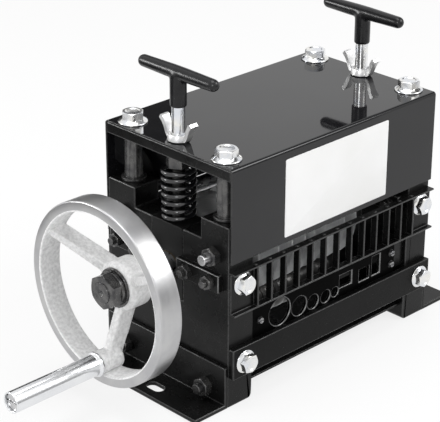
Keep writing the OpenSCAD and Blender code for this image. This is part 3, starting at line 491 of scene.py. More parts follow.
# %% Selecting
def only(*pieces):
    """Selects these pieces alone, in object mode, the first one active."""
    if bpy.context.mode != "OBJECT":
        bpy.ops.object.mode_set(mode="OBJECT")
    bpy.ops.object.select_all(action="DESELECT")
    for piece in pieces:
        piece.select_set(True)
    if pieces:
        bpy.context.view_layer.objects.active = pieces[0]


def pick(piece, kind, test):
    """Goes to edit mode and selects the vertices, edges or faces that pass a test."""
    only(piece)
    bpy.ops.object.mode_set(mode="EDIT")
    bpy.ops.mesh.select_mode(type=kind)
    bpy.ops.mesh.select_all(action="DESELECT")
    cage = bmesh.from_edit_mesh(piece.data)
    for item in {"VERT": cage.verts, "EDGE": cage.edges, "FACE": cage.faces}[kind]:
        if test(item):
            item.select_set(True)
    bmesh.update_edit_mesh(piece.data)


print("selecting: only these pieces, or a pick of their faces")

# %% Modifiers and clean meshes
MERGE = 0.002 * MM
SHARP = 38  # degrees


def apply(piece, kind, **settings):
    """Adds a modifier, sets it and applies it."""
    only(piece)
    bpy.ops.object.modifier_add(type=kind)
    modifier = piece.modifiers[-1]
    for setting, value in settings.items():
        setattr(modifier, setting, value)
    bpy.ops.object.modifier_apply(modifier=modifier.name)


def combine(piece, operation, *others):
    """Unites, cuts or intersects a piece with other closed pieces, which are used up."""
    for other in others:
        apply(piece, "BOOLEAN", operation=operation, solver="EXACT", object=other)
        bpy.data.objects.remove(other)
    return piece


def settle(piece):
    """Puts a piece's place, turn and size into its mesh."""
    only(piece)
    bpy.ops.object.transform_apply(location=True, rotation=True, scale=True)
    return piece


def tidy_mesh(piece):
    """Merges doubles, drops loose edges and points the faces outwards."""
    pick(piece, "VERT", lambda vert: True)
    bpy.ops.mesh.remove_doubles(threshold=MERGE)
    bpy.ops.mesh.delete_loose()
    bpy.ops.mesh.select_all(action="SELECT")
    bpy.ops.mesh.normals_make_consistent(inside=False)
    bpy.ops.object.mode_set(mode="OBJECT")


def close_ends(piece):
    """Fills the open ends of a wound mesh and points its faces outwards."""
    pick(piece, "VERT", lambda vert: True)
    bpy.ops.mesh.fill_holes(sides=0)
    bpy.ops.mesh.normals_make_consistent(inside=False)
    bpy.ops.object.mode_set(mode="OBJECT")


def smooth_shade(piece, angle=SHARP):
    """Shades a piece smooth, apart from edges that turn by more than an angle."""
    only(piece)
    bpy.ops.object.shade_smooth_by_angle(angle=math.radians(angle))


print("edges over", SHARP, "degrees stay sharp")


# %% Turning
def turned(name, outline, centre, axis, steps=64):
    """A turned piece: an outline of (radius, distance along the axis) spun about an axis through centre."""
    only()
    bpy.ops.mesh.primitive_circle_add(vertices=len(outline), radius=1)
    piece = bpy.context.object
    piece.name = name
    side = Y_AXIS if abs(axis.z) > 0.5 else Z_AXIS
    for vert, (radius, along) in zip(piece.data.vertices, outline):
        vert.co = Vector(centre) + side * radius + axis * along
    on_axis = {i for i, (radius, along) in enumerate(outline) if radius == 0}
    pick(piece, "EDGE", lambda edge: {vert.index for vert in edge.verts} <= on_axis)
    bpy.ops.mesh.delete(type="EDGE_FACE")
    bpy.ops.mesh.select_all(action="SELECT")
    bpy.ops.mesh.spin(steps=steps, angle=2 * math.pi, center=centre, axis=axis, use_auto_merge=False)
    tidy_mesh(piece)
    return piece


def arc(radius, along, size, start, stop, count=6):
    """Points of a round in an outline: degrees run from the radius direction towards the axis direction."""
    turns = [math.radians(start + (stop - start) * i / count) for i in range(count + 1)]
    return [(radius + size * math.cos(t), along + size * math.sin(t)) for t in turns]


def plug(name, radius, start, stop, centre, axis, steps=64):
    """A plain turned cylinder, which cuts a bore or becomes a boss."""
    return turned(name, [(0, start), (radius, start), (radius, stop), (0, stop)], centre, axis, steps)


print("turning: outlines spun about an axis")


# %% Handing over
def hand_over(piece, node):
    """The piece takes its node's place: its body, and its slot's finish if it has none yet."""
    if not piece.data.materials:
        piece.data.materials.append(finish_of_slot[slot_of[node]])
    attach(piece, body_of[node])
    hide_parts(node)


# %% [markdown]
# ## Soft edges on plates, bars and nuts
# No real edge is knife sharp: a coat of powder rounds it, and the round catches a thin line of light. A Bevel
# shader node would only fake that in the render, so the copy of each solid is merged, its flat triangles are
# dissolved into whole faces, and a Bevel modifier rounds the edges. Its clamp would narrow every bevel to
# suit the shortest edge of a piece, so only nuts, blocks and other small pieces keep it. Weighted normals
# keep the flats flat.

# %% Edge rounds in millimetres
EDGE_ROUND = {
    "end_plate_left": 1.0, "end_plate_right": 1.0, "top_plate": 0.8, "cover_shell": 0.45,
    "front_tie_bar": 0.8, "rear_tie_bar": 0.8, "finger_guard": 0.5, "rear_guard": 0.4, "feed_plate": 0.8,
    "feed_brackets": 0.4, "foot_left": 0.8, "foot_right": 0.8, "keeper_bars": 0.8, "chute_tray": 0.3,
    "cover_posts": 0.5, "bearing_block_left": 0.6, "bearing_block_right": 0.6, "lift_nuts": 0.5,
    "tie_rod_nuts": 0.4, "tie_rods": 0.6, "foot_nuts": 0.4, "foot_studs": 0.5, "keeper_nuts": 0.35,
    "keeper_studs": 0.4, "hub_nut": 0.7, "hub_washer": 0.35, "hub_spring_washer": 0.4, "blade_shaft": 0.5,
    "cutting_discs": 0.1, "stop_collars": 0.6, "wheel_tube": 0.4, "feed_roller": 0.3, "grip_spindle": 0.3,
    "feed_screws": 0.35, "shaft_bushes": 0.3, "roller_bushes": 0.3,
}
CLAMPED = ("bearing_block_left", "bearing_block_right", "lift_nuts", "tie_rod_nuts", "foot_nuts",
           "keeper_nuts", "hub_nut", "feed_screws", "grip_spindle")
print("rounds of", min(EDGE_ROUND.values()), "to", max(EDGE_ROUND.values()), "mm")

# %% Round the edges of copied solids
FLAT = 0.8  # degrees


def soften(node, width):
    """Copies a solid, rounds the copy's edges and hands the solid's place to it."""
    only(nodes[node])
    bpy.ops.object.duplicate()
    piece = bpy.context.object
    piece.name = node + "_soft"
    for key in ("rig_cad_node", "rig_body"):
        del piece[key]
    pick(piece, "VERT", lambda vert: True)
    bpy.ops.mesh.remove_doubles(threshold=MERGE)
    bpy.ops.mesh.dissolve_limited(angle_limit=math.radians(FLAT))
    bpy.ops.object.mode_set(mode="OBJECT")
    # The bevel's faces take the edge finish, a painted highlight along each edge.
    edge = edge_highlight_of_node.get(node, edge_highlight_of_slot.get(slot_of[node]))
    if edge:
        piece.data.materials.append(edge)
    apply(piece, "BEVEL", width=width, segments=2, limit_method="ANGLE", angle_limit=math.radians(SHARP),
          material=1 if edge else -1, use_clamp_overlap=node in CLAMPED)
    smooth_shade(piece)
    apply(piece, "WEIGHTED_NORMAL", keep_sharp=True, weight=60)
    hand_over(piece, node)


for node, width in EDGE_ROUND.items():
    soften(node, width * MM)
print(len(EDGE_ROUND), "solids with soft edges")


# %% [markdown]
# ## Second finishes
# Some pieces have another finish on a few faces. The shaft's threaded end is blackened like its nut, the
# edges of the feed ports are rubbed bare by the cables and also carry a painted highlight, and the guard's
# front edges carry a painted highlight. These are face choices on the softened copies, so a finish follows
# its edge exactly, where a painted mask would bleed.

# %% Choose the faces
THREAD_END = 3 * MM
PORT_X = 72 * MM
PORT_Z = (45 * MM, 74 * MM)
GUARD_HIGHLIGHT_DEPTH = 0.6 * MM
nut_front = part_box("hub_nut")[0].x
feed_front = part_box("feed_plate")[0].y
guard_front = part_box("finger_guard")[0].y


def on_thread(face):
    return face.center.x < nut_front + THREAD_END


# Feed port edges: rubbed bare, and lighter still as a painted highlight.
def on_port_edge(face):
    slopes = 0.2 < -face.normal.y < 0.97
    inside = abs(face.center.x) < PORT_X and PORT_Z[0] < face.center.z < PORT_Z[1]
    return slopes and inside and face.center.y < feed_front + MM


# The guard's front faces, which carry a painted highlight.
def on_guard_edge(face):
    return face.center.y < guard_front + GUARD_HIGHLIGHT_DEPTH


print("ports from", round(PORT_Z[0] / MM), "to", round(PORT_Z[1] / MM), "mm high")


# %% Give them their finish
def second_finish(piece, finish, test):
    """Puts a finish on the faces that pass a test, and counts them."""
    piece.data.materials.append(finish)
    chosen = [face for face in piece.data.polygons if test(face)]
    for face in chosen:
        face.material_index = len(piece.data.materials) - 1
    return len(chosen)


count = 0
# Port and guard edges take painted highlights, and the shaft's threaded end is blackened.
for node, finish, test in (("blade_shaft", oxide, on_thread),
                           ("feed_plate", bright_highlight_edge, on_port_edge),
                           ("finger_guard", highlight_on_coat, on_guard_edge)):
    count += second_finish(bpy.data.objects[node + "_soft"], finish, test)
print(count, "faces with a second finish")


# %% [markdown]
# ## Flange bolts
# A flange bolt is forged: a thin wide collar runs up a cone into a hexagon, whose corners are chamfered and
# whose top has a shallow dish. The collar and shank are turned from one outline. The hexagon is a six-sided
# cylinder cut by a turned blank, which leaves the curved chamfers of a real head. One bolt is made per size
# and copied to each place.

# %% Model a flange bolt
HEAD_H = 0.85  # of the thread's diameter
DISH_WALL = 0.6 * MM
DISH_DEPTH = 0.75 * MM
CONE_LEDGE = 0.3 * MM
BOLT_EDGE = 0.22 * MM


def hexagon(name, across_flats, low, high):
    """A bolt's six-sided head with chamfered corners and a dished top."""
    corner = across_flats / math.sqrt(3)
    chamfer = 0.09 * across_flats
    dish_r = 0.37 * across_flats
    only()
    bpy.ops.mesh.primitive_cylinder_add(vertices=6, radius=corner, depth=high - low,
                                        location=(0, 0, (low + high) / 2))
    head = settle(bpy.context.object)
    head.name = name
    outline = [(0, low - MM), (1.2 * corner, low - MM), (1.2 * corner, high - 1.2 * chamfer),
               (corner, high - 0.6 * chamfer), (corner - chamfer, high), (dish_r, high),
               (dish_r - DISH_WALL, high - DISH_WALL), (0, high - DISH_DEPTH)]
    return combine(head, "INTERSECT", turned(name + "_blank", outline, (0, 0, 0), Z_AXIS))


def flange_bolt(name, thread, across_flats, flange, shank):
    """A bolt seated at the origin with its head up, most of it in shares of its thread's diameter."""
    collar_t = 0.12 * thread
    cone_t = 0.2 * thread
    edge = collar_t / 2
    outline = [(0, -shank), (0.42 * thread, -shank), (0.5 * thread, -shank + 0.08 * thread),
               (0.5 * thread, 0), (flange / 2 - edge, 0), *arc(flange / 2 - edge, edge, edge, -90, 90),
               (across_flats / 2 + CONE_LEDGE, collar_t + cone_t), (0, collar_t + cone_t)]
    bolt = turned(name, outline, (0, 0, 0), Z_AXIS)
    combine(bolt, "UNION", hexagon(name + "_head", across_flats, 0.3 * collar_t, HEAD_H * thread))
    tidy_mesh(bolt)
    apply(bolt, "BEVEL", width=BOLT_EDGE, segments=2, limit_method="ANGLE", angle_limit=math.radians(30))
    smooth_shade(bolt, 32)
    return bolt


print("bolt heads", HEAD_H, "of their thread high")


# %% Copy a bolt to its places
def set_bolts(node, bolt, places):
    """Copies one bolt to each (seat, direction, turn) and joins the copies into the node's piece."""
    copies = []
    for seat, outward, turn in places:
        only(bolt)
        bpy.ops.object.duplicate()
        copy = bpy.context.object
        aim = Z_AXIS.rotation_difference(outward) @ Quaternion((0, 0, 1), math.radians(turn))
        copy.matrix_world = Matrix.Translation(seat) @ aim.to_matrix().to_4x4()
        copies.append(settle(copy))
    only(*copies)
    bpy.ops.object.join()
    copies[0].name = node + "_forged"
    bpy.data.objects.remove(bolt)
    hand_over(copies[0], node)


print("bolts are copied by seat, direction and turn")


# %% Measure the solids of a piece
def solids_of(piece):
    """Boxes of a piece's separate solids, as (low, high) corners."""
    only(piece)
    bpy.ops.object.duplicate()
    copy = bpy.context.object
    pick(copy, "VERT", lambda vert: True)
    bpy.ops.mesh.remove_doubles(threshold=MERGE)
    bpy.ops.mesh.separate(type="LOOSE")
    bpy.ops.object.mode_set(mode="OBJECT")
    boxes = []
    for part in list(bpy.context.selected_objects):
        corners = [vert.co for vert in part.data.vertices]
        low = Vector([min(c[i] for c in corners) for i in range(3)])
        high = Vector([max(c[i] for c in corners) for i in range(3)])
        boxes.append((low, high))
        bpy.data.objects.remove(part)
    return boxes


print("a piece's solids are measured on a copy")

# %% Set the bolts
FIRST_TURN = 17  # degrees, as is the next
NEXT_TURN = 23


def bolt_group(node, outward_of, thread, across_flats, grip):
    """Finds each bolt's seat from its solid's box and sets a modelled bolt there."""
    places = []
    for low, high in solids_of(nodes[node]):
        centre = (low + high) / 2
        outward = outward_of(centre)
        reach = Vector([outward[i] * (high[i] - low[i]) / 2 for i in range(3)])
        seat = centre + reach - outward * (HEAD_H * thread)
        places.append((seat, outward, FIRST_TURN + NEXT_TURN * len(places)))
        flange = max(high[i] - low[i] for i in range(3) if abs(outward[i]) < 0.5)
    set_bolts(node, flange_bolt(node + "_one", thread, across_flats, flange, grip), places)
    return len(places)


def upwards(centre):
    return Z_AXIS


def away_from_middle(centre):
    return Y_AXIS if centre.y > 0 else -Y_AXIS


count = bolt_group("top_bolts", upwards, thread=10 * MM, across_flats=15 * MM, grip=30 * MM)
count += bolt_group("tie_bar_bolts", away_from_middle, thread=8 * MM, across_flats=13 * MM, grip=18 * MM)
count += bolt_group("guard_bolts", away_from_middle, thread=8 * MM, across_flats=13 * MM, grip=8 * MM)
print(count, "flange bolts")


# %% [markdown]
# ## Feed plate screws
# The feed plate hangs on three small slotted screws with narrow heads. They could be turned again like the
# flange bolts, but the softened copy of the solid already has the slot. So only its heads are drawn in, about
# each screw's own axis, and the shanks keep the size of their holes.

# %% Draw in the heads
HEAD_SHARE = 0.72
SHANK_R = 2.2 * MM
PLATE_MARGIN = 0.1 * MM
screws = bpy.data.objects["feed_screws_soft"]


def draw_in_head(low, high):
    """Narrows one screw's head about the screw's own axis."""
    middle = (low + high) / 2
    reach = high.x - middle.x + MM

    def on_head(vert):
        off_axis = math.hypot(vert.co.x - middle.x, vert.co.z - middle.z)
        in_front = vert.co.y < feed_front - PLATE_MARGIN
        return off_axis < reach and (off_axis > SHANK_R or in_front)

    pick(screws, "VERT", on_head)
    bpy.ops.transform.resize(value=(HEAD_SHARE, 1, HEAD_SHARE), center_override=middle)
    return HEAD_SHARE * (high.x - low.x)


head_sizes = [draw_in_head(low, high) for low, high in solids_of(screws)]
bpy.ops.object.mode_set(mode="OBJECT")
print(len(head_sizes), "feed screws with heads of", round(max(head_sizes) / MM, 1), "mm")


# %% [markdown]
# ## Springs
# A compression spring is one wire on a helix, with its end turns closed and ground flat. A curve with a
# round bevel would do, and the Screw modifier gives the same tube from a circle of wire. The end turns are
# then drawn together by moving each ring of the tube to the height that a closed end asks for.

# %% Rise of the wire
WIRE = 3.6 * MM
TURNS = 7
CLOSED = 0.9
WIRE_GAP = 0.3 * MM
CLOSED_PITCH = WIRE + WIRE_GAP


def closed_rise(turn, pitch):
    """Height of the wire after so many turns, with a closed turn at each end."""
    if turn < CLOSED:
        return CLOSED_PITCH * turn
    if turn > TURNS - CLOSED:
        open_rise = pitch * (TURNS - 2 * CLOSED)
        return CLOSED_PITCH * CLOSED + open_rise + CLOSED_PITCH * (turn - TURNS + CLOSED)
    return CLOSED_PITCH * CLOSED + pitch * (turn - CLOSED)


# %% Wind the springs
STEPS = 36
RING = 14
GRIND = 0.25 * WIRE


def wound_spring(node):
    """A ring of wire spun on a helix, with its ends closed and ground."""
    low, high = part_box(node)
    middle = (low + high) / 2
    coil_r = (high.x - low.x - WIRE) / 2
    only()
    bpy.ops.mesh.primitive_circle_add(vertices=RING, radius=WIRE / 2, location=(coil_r, 0, 0),
                                      rotation=(math.pi / 2, 0, 0))
    piece = settle(bpy.context.object)
    piece.name = node + "_wound"
    apply(piece, "SCREW", axis="Z", screw_offset=0, iterations=TURNS, steps=STEPS, render_steps=STEPS,
          use_merge_vertices=False, use_smooth_shade=True)
    height = high.z - low.z + 2 * GRIND - WIRE
    pitch = (height - 2 * CLOSED * CLOSED_PITCH) / (TURNS - 2 * CLOSED)
    for index, vert in enumerate(piece.data.vertices):
        turn = (index // RING) / STEPS
        rise = vert.co.z + closed_rise(turn, pitch) + WIRE / 2 - GRIND
        vert.co = middle.x + vert.co.x, middle.y + vert.co.y, low.z + min(max(rise, 0), high.z - low.z)
    close_ends(piece)
    smooth_shade(piece, 40)
    hand_over(piece, node)
    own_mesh(piece)


for node in ("spring_left", "spring_right"):
    wound_spring(node)
print("two springs of", TURNS, "turns")


# %% [markdown]
# ## Adjusting screws
# Each screw is a polished rod above the cover. Below it the rod is threaded and dark. A bump could
# suggest the thread, but the rod's outline would stay smooth, so the Screw modifier turns a V of one pitch
# into a real thread. The rod is a turned outline with a foot that hangs in the bearing block.

# %% Cut a thread
PITCH = 1.5 * MM
THREAD_DEPTH = 0.9 * MM
THREAD_STEPS = 28


def threaded_rod(name, centre, radius, low, high):
    """A rod with a thread from low to high: a helix of V-shaped turns closed at its ends."""
    only()
    bpy.ops.mesh.primitive_circle_add(vertices=3, radius=1)
    piece = bpy.context.object
    piece.name = name
    valley = radius - THREAD_DEPTH
    corners = [(valley, 0), (radius, PITCH / 2), (valley, PITCH)]
    for vert, (out, up) in zip(piece.data.vertices, corners):
        vert.co = (out, 0, up)
    pick(piece, "EDGE", lambda edge: abs(edge.verts[0].co.x - edge.verts[1].co.x) < 0.1 * THREAD_DEPTH)
    bpy.ops.mesh.delete(type="EDGE")
    bpy.ops.object.mode_set(mode="OBJECT")
    count = int((high - low) / PITCH)
    apply(piece, "SCREW", axis="Z", screw_offset=PITCH, iterations=count, steps=THREAD_STEPS,
          render_steps=THREAD_STEPS, use_merge_vertices=True, merge_threshold=0.01 * MM,
          use_smooth_shade=False)
    piece.location = (centre.x, centre.y, low)
    close_ends(settle(piece))
    return piece


print("thread of", round(PITCH / MM, 1), "mm pitch")

# %% Turn the screws
ROD_R = 5.0 * MM
CORE_OVERLAP = 0.05 * MM
CORE_R = ROD_R - THREAD_DEPTH + CORE_OVERLAP
FOOT_H = 6 * MM
FOOT_CHAMFER = 0.5 * MM
THREAD_CLEAR = 2 * MM


def adjusting_screw(node, thread_low, thread_high):
    """A turned rod with a foot, thinned to its core where the thread is laid on."""
    low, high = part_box(node)
    centre = (low + high) / 2
    foot_r = (high.x - low.x) / 2
    outline = [(0, low.z), (foot_r - FOOT_CHAMFER, low.z), (foot_r, low.z + FOOT_CHAMFER),
               (foot_r, low.z + FOOT_H), (ROD_R, low.z + FOOT_H), (ROD_R, thread_low),
               (CORE_R, thread_low + MM), (CORE_R, thread_high), (ROD_R, thread_high + MM),
               (ROD_R, high.z), (0, high.z)]
    rod = turned(node + "_turned", outline, (centre.x, centre.y, 0), Z_AXIS)
    thread = threaded_rod(node + "_thread", centre, ROD_R, thread_low + MM / 2, thread_high + MM / 2)
    smooth_shade(rod)
    smooth_shade(thread, 20)
    rod.data.materials.append(finish_of_slot[slot_of[node]])
    rod.data.materials.append(dark_steel)
    thread.data.materials.append(dark_steel)
    for face in rod.data.polygons:
        face.material_index = 1 if face.center.z < thread_high + MM else 0
    only(rod, thread)
    bpy.ops.object.join()
    hand_over(rod, node)


block_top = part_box("bearing_block_left")[1].z
thread_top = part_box("cover_shell")[1].z - THREAD_CLEAR
for node in ("screw_left", "screw_right"):
    adjusting_screw(node, block_top + THREAD_CLEAR, thread_top)
print("threads from", round(block_top / MM), "to", round(thread_top / MM), "mm")


# %% [markdown]
# ## Dipped T-grips
# The T-bar is dipped in vinyl, which rounds its ends, runs into a fillet under the bar and thins towards the
# lip of the sleeve. Hard primitives show a crease at the T. So the bar and sleeve are turned, joined by a
# voxel remesh into one skin, and smoothed where they meet.

# %% Dip the grips
VOXEL = 0.45 * MM
BAR_R = 5.0 * MM
LIP_R = 5.5 * MM
LIP_ROUND = 0.7 * MM
SHOULDER = 6 * MM
FILLET_REACH = 11 * MM


def dipped_grip(node):
    """A turned bar and sleeve under one skin of vinyl."""
    low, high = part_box(node)
    centre = (low + high) / 2
    sleeve_r = (high.x - low.x) / 2
    bar_z = high.z - sleeve_r
    end_r = 0.92 * BAR_R
    end = arc(0, (high.y - low.y) / 2 - end_r, end_r, 0, 90)
    outline = [*[(radius, -along) for radius, along in reversed(end)], (1.06 * BAR_R, 0), *end]
    bar = turned(node + "_dipped", outline, (centre.x, 0, bar_z), Y_AXIS, 48)
    crown = bar_z + 0.8 * BAR_R
    sleeve = [(0, low.z), (LIP_R - 0.1 * MM, low.z), *arc(LIP_R, low.z + LIP_ROUND, LIP_ROUND, -80, 20, 4),
              (sleeve_r, bar_z - SHOULDER), (0.95 * sleeve_r, bar_z), (0.6 * BAR_R, crown), (0, crown)]
    combine(bar, "UNION", turned(node + "_stem", sleeve, (centre.x, 0, 0), Z_AXIS, 48))
    apply(bar, "REMESH", mode="VOXEL", voxel_size=VOXEL, use_smooth_shade=True)
    fillet = bar.vertex_groups.new(name="fillet")
    junction = Vector((centre.x, 0, bar_z - BAR_R))
    near = [vert.index for vert in bar.data.vertices if (vert.co - junction).length < FILLET_REACH]
    fillet.add(near, 1.0, "REPLACE")
    apply(bar, "SMOOTH", factor=0.5, iterations=60, vertex_group="fillet")
    apply(bar, "SMOOTH", factor=0.5, iterations=24)
    bar.vertex_groups.clear()
    hand_over(bar, node)


for node in ("t_grip_left", "t_grip_right"):
    dipped_grip(node)


# %% [markdown]
# ## Wing nuts
# These are pressed from thick strip: a round threaded base with two ears that bend up and flare at their
# tips. A plain extrusion would leave sharp steps at the roots. Here the base is turned, each ear is a cube
# that is subdivided and drawn along a bent line, and a bevel gives the soft pressed edges.

# %% Press an ear
EAR_LINE = [(0.36, 0.06, 1.0, 0.9), (0.5, 0.14, 1.0, 1.0), (0.6, 0.32, 0.9, 1.0), (0.68, 0.56, 0.92, 1.0),
            (0.77, 0.8, 1.05, 1.1), (0.87, 0.97, 1.16, 1.3), (0.93, 1.02, 1.16, 0.9)]


def pressed_ear(name, centre, side, seat, width, thick, span, height):
    """A cube cut into stations and drawn along a bent line: (out, up, width, thickness) as shares."""
    only()
    bpy.ops.mesh.primitive_cube_add(size=1)
    ear = bpy.context.object
    ear.name = name
    pick(ear, "EDGE", lambda edge: abs(edge.verts[0].co.z - edge.verts[1].co.z) > 0.5)
    bpy.ops.mesh.subdivide(number_cuts=len(EAR_LINE) - 2)
    bpy.ops.object.mode_set(mode="OBJECT")
    for vert in ear.data.vertices:
        station = round((vert.co.z + 0.5) * (len(EAR_LINE) - 1))
        out, up, broad, deep = EAR_LINE[station]
        before = EAR_LINE[max(station - 1, 0)]
        after = EAR_LINE[min(station + 1, len(EAR_LINE) - 1)]
        outwards = side * (after[0] - before[0]) * span / 2
        rise = Vector((0, outwards, (after[1] - before[1]) * height)).normalized()
        middle = Vector((centre.x, centre.y + side * out * span / 2, seat + up * height))
        across = X_AXIS * (vert.co.x * broad * width)
        vert.co = middle + across + X_AXIS.cross(rise) * (vert.co.y * deep * thick)
    pick(ear, "FACE", lambda face: True)
    bpy.ops.mesh.normals_make_consistent(inside=False)
    bpy.ops.object.mode_set(mode="OBJECT")
    return ear


print("ears drawn through", len(EAR_LINE), "stations")

# %% Press the wing nuts
HOLE_R = 5.1 * MM
BASE_H = 5.0 * MM
BASE_ROUND = 0.8 * MM
EAR_W = 6.2 * MM
EAR_T = 2.8 * MM
EAR_RISE = 1.15
EAR_EDGE = 0.6 * MM


def wing_nut(node):
    """A turned base with two ears, bored through and softened."""
    low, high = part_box(node)
    centre = (low + high) / 2
    seat = low.z
    base_r = (high.x - low.x) / 2
    span = high.y - low.y
    height = high.z - low.z
    axis_foot = (centre.x, centre.y, 0)
    outline = [
        (HOLE_R, seat), (base_r - BASE_ROUND, seat),
        *arc(base_r - BASE_ROUND, seat + BASE_ROUND, BASE_ROUND, -90, 0),
        (0.95 * base_r, seat + 0.7 * BASE_H), (0.86 * base_r, seat + BASE_H),
        (HOLE_R + BASE_ROUND, seat + BASE_H), (HOLE_R, seat + BASE_H - BASE_ROUND),
    ]
    nut = turned(node + "_pressed", outline, axis_foot, Z_AXIS)
    ears = [pressed_ear(f"{node}_ear_{side}", centre, side, seat, EAR_W, EAR_T, span, EAR_RISE * height)
            for side in (-1, 1)]
    combine(nut, "UNION", *ears)
    bore = plug(node + "_bore", HOLE_R, seat - MM, seat + 1.3 * height, axis_foot, Z_AXIS)
    combine(nut, "DIFFERENCE", bore)
    tidy_mesh(nut)
    apply(nut, "BEVEL", width=EAR_EDGE, segments=3, limit_method="ANGLE", angle_limit=math.radians(32))
    smooth_shade(nut, 40)
    apply(nut, "WEIGHTED_NORMAL", keep_sharp=True, weight=50)
    nut.data.materials.append(pressed_zinc)
    hand_over(nut, node)


for node in ("wing_nut_left", "wing_nut_right"):
    wing_nut(node)
print("two wing nuts with ears", round(EAR_W / MM, 1), "mm broad")


# %% [markdown]
# ## Hand wheel
# The wheel is an aluminium casting: a machined rim, three flat spokes that lean back to a hub, and a soft
# radius wherever they meet. The rim is turned, because its faces are, and stays as cast on its inside and its
# back, where a lighter copy of the cast finish paints light into the rim's shade. Hub, spokes and crank boss
# are united, remeshed and smoothed, which gives the rounded look of sand casting that a bevel can't reach in
# the corners.

# %% Turn the rim
wheel_low, wheel_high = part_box("hand_wheel")
WHEEL_R = (wheel_high.z - wheel_low.z) / 2
RIM_T = 8 * MM
RIM_W = 19 * MM
RIM_FRONT = wheel_low.x
CORNER = 1.2 * MM
rim_outline = [
    *arc(WHEEL_R - CORNER, RIM_FRONT + RIM_W - CORNER, CORNER, 0, 90, 5),
    *arc(WHEEL_R - RIM_T + CORNER, RIM_FRONT + RIM_W - CORNER, CORNER, 90, 180, 5),
    *arc(WHEEL_R - RIM_T + CORNER, RIM_FRONT + CORNER, CORNER, 180, 270, 5),
    *arc(WHEEL_R - CORNER, RIM_FRONT + CORNER, CORNER, 270, 360, 5),
]
rim = turned("hand_wheel_rim", rim_outline, SHAFT_LINE, X_AXIS, 128)
rim.data.materials.append(rim_finish)
rim.data.materials.append(rim_inside_painted_light)
# The inside and back faces take the lighter cast finish, a painted light.
for face in rim.data.polygons:
    from_axis = (face.center - Vector((face.center.x, 0, SHAFT_Z))).length
    faces_in = from_axis < WHEEL_R - RIM_T + CORNER
    faces_back = face.normal.x > 0.8
    face.material_index = 1 if faces_in or faces_back else 0
smooth_shade(rim, 30)
print("rim of", round(2 * WHEEL_R / MM), "mm")

# %% Cast the hub and spokes
HUB_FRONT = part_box("hub_washer")[1].x
HUB_L = 30.5 * MM
HUB_R = 19 * MM
HUB_CHAMFER = 3 * MM
HUB_STEP = 4 * MM
SPOKE_T = 15 * MM
SPOKE_INNER_W = 8 * MM
SPOKE_OUTER_W = 6 * MM
SPOKE_IN_HUB = 4 * MM
SPOKE_IN_RIM = 2 * MM


def cast_spoke(turn):
    """A cube stretched into a flat bar that leans from the hub to the rim and narrows outwards."""
    only()
    bpy.ops.mesh.primitive_cube_add(size=1)
    spoke = bpy.context.object
    inner = (HUB_FRONT + 0.7 * SPOKE_T, HUB_R - SPOKE_IN_HUB, SPOKE_INNER_W)
    outer = (RIM_FRONT + RIM_W / 2, WHEEL_R - RIM_T + SPOKE_IN_RIM, SPOKE_OUTER_W)
    for vert in spoke.data.vertices:
        x, reach, width = outer if vert.co.z > 0 else inner
        vert.co = (x + vert.co.x * SPOKE_T, vert.co.y * width, reach)
    spoke.data.transform(Matrix.Translation(SHAFT_LINE) @ Matrix.Rotation(math.radians(turn), 4, "X"))
    return spoke


hub_back = HUB_FRONT + HUB_L
step = HUB_FRONT + 0.6 * HUB_L
hub_outline = [
    (0, HUB_FRONT), (HUB_R - HUB_CHAMFER, HUB_FRONT), (HUB_R, HUB_FRONT + HUB_CHAMFER), (HUB_R, step),
    (HUB_R - HUB_STEP, step + HUB_STEP), (HUB_R - HUB_STEP, hub_back), (0, hub_back),
]
casting = turned("hand_wheel_cast", hub_outline, SHAFT_LINE, X_AXIS)
combine(casting, "UNION", *[cast_spoke(turn) for turn in (180, 300, 60)])
print("hub and three spokes")

# %% Finish the casting
CRANK_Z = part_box("crank_grip")[0].lerp(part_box("crank_grip")[1], 0.5).z
CRANK_LINE = (0, 0, CRANK_Z)
BOSS_R = 8.5 * MM
BORE_R = 8 * MM
CAST_VOXEL = 0.7 * MM
boss = plug("crank_boss", BOSS_R, RIM_FRONT, RIM_FRONT + RIM_W, CRANK_LINE, X_AXIS, 48)
combine(casting, "UNION", boss)
apply(casting, "REMESH", mode="VOXEL", voxel_size=CAST_VOXEL, use_smooth_shade=True)
apply(casting, "SMOOTH", factor=0.5, iterations=8)
bore = plug("wheel_bore", BORE_R, HUB_FRONT - MM, hub_back + MM, SHAFT_LINE, X_AXIS)
combine(casting, "DIFFERENCE", bore)
casting.data.materials.append(wheel_finish)
smooth_shade(casting, 45)
only(casting, rim)
bpy.ops.object.join()
hand_over(casting, "hand_wheel")
print("hand wheel,", len(casting.data.polygons), "faces")


# %% [markdown]
# ## Chromed crank grip
# The grip is a drawn tube that turns on its spindle, with a rolled bead next to the wheel and a thin lip at
# the open end. It is all one outline about one axis, so a spin makes it, bead and recess included.

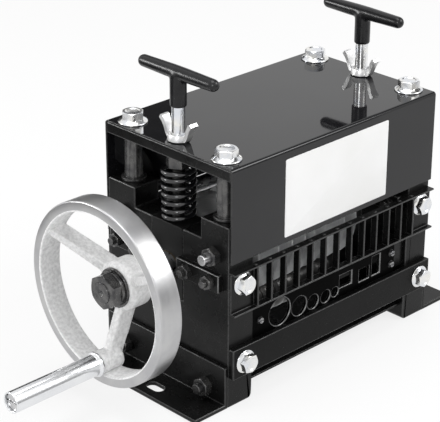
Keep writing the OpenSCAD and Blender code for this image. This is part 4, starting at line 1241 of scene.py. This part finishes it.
# %% Spin the grip
grip_low, grip_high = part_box("crank_grip")
GRIP_R = 8 * MM
BEAD_R = (grip_high.z - grip_low.z) / 2
BEAD = 1.6 * MM
NECK = 0.7 * MM
LIP = 0.6 * MM
RECESS = 5.5 * MM
SPINDLE_GAP_R = 4.8 * MM
inner_r = GRIP_R - 2 * LIP
grip_outline = [
    (SPINDLE_GAP_R, grip_high.x), (BEAD_R - BEAD, grip_high.x),
    *arc(BEAD_R - BEAD, grip_high.x - BEAD, BEAD, 90, -70, 12),
    *arc(GRIP_R + NECK, grip_high.x - 2.6 * BEAD, NECK, 120, 180, 4),
    *arc(GRIP_R - LIP, grip_low.x + LIP, LIP, 0, -180, 8),
    (inner_r, grip_low.x + RECESS), (SPINDLE_GAP_R, grip_low.x + RECESS),
]
grip = turned("crank_grip_chromed", grip_outline, CRANK_LINE, X_AXIS, 96)
smooth_shade(grip, 40)
hand_over(grip, "crank_grip")
print("grip of", round((grip_high.x - grip_low.x) / MM), "mm")


# %% [markdown]
# ## Plate on the cover
# The front of the cover carries a thin, plain white plate. A plane would have no edge to catch light, so the
# plate is a cube flattened to its thickness, with its corners rounded by a bevel in edit mode and a fine
# bevel round its face.

# %% Fix the plate
PLATE_X = (-56.5 * MM, 54.5 * MM)
PLATE_Z = (121.5 * MM, 182.5 * MM)
PLATE_T = 0.5 * MM
PLATE_CORNER = 1.2 * MM
PLATE_EDGE = 0.15 * MM
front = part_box("cover_shell")[0].y
film = grained("white_plate", (14, (0.8, 0.8, 0.79), (0.86, 0.86, 0.86)), (60, 0.3, 0.4), (400, 0.004 * MM),
               Specular_IOR_Level=0.45)
only()
bpy.ops.mesh.primitive_cube_add(size=1)
plate = bpy.context.object
plate.name = "blank_front_plate"
plate.scale = (PLATE_X[1] - PLATE_X[0], PLATE_T, PLATE_Z[1] - PLATE_Z[0])
plate.location = (sum(PLATE_X) / 2, front - PLATE_T / 2, sum(PLATE_Z) / 2)
settle(plate)
pick(plate, "EDGE", lambda edge: abs((edge.verts[0].co - edge.verts[1].co).y) > 0.5 * PLATE_T)
bpy.ops.mesh.bevel(offset=PLATE_CORNER, segments=6)
bpy.ops.object.mode_set(mode="OBJECT")
apply(plate, "BEVEL", width=PLATE_EDGE, segments=2, limit_method="ANGLE", angle_limit=math.radians(40))
smooth_shade(plate)
plate.data.materials.append(film)
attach(plate, "frame")
print("plain plate", [round((b - a) / MM) for a, b in (PLATE_X, PLATE_Z)], "mm")
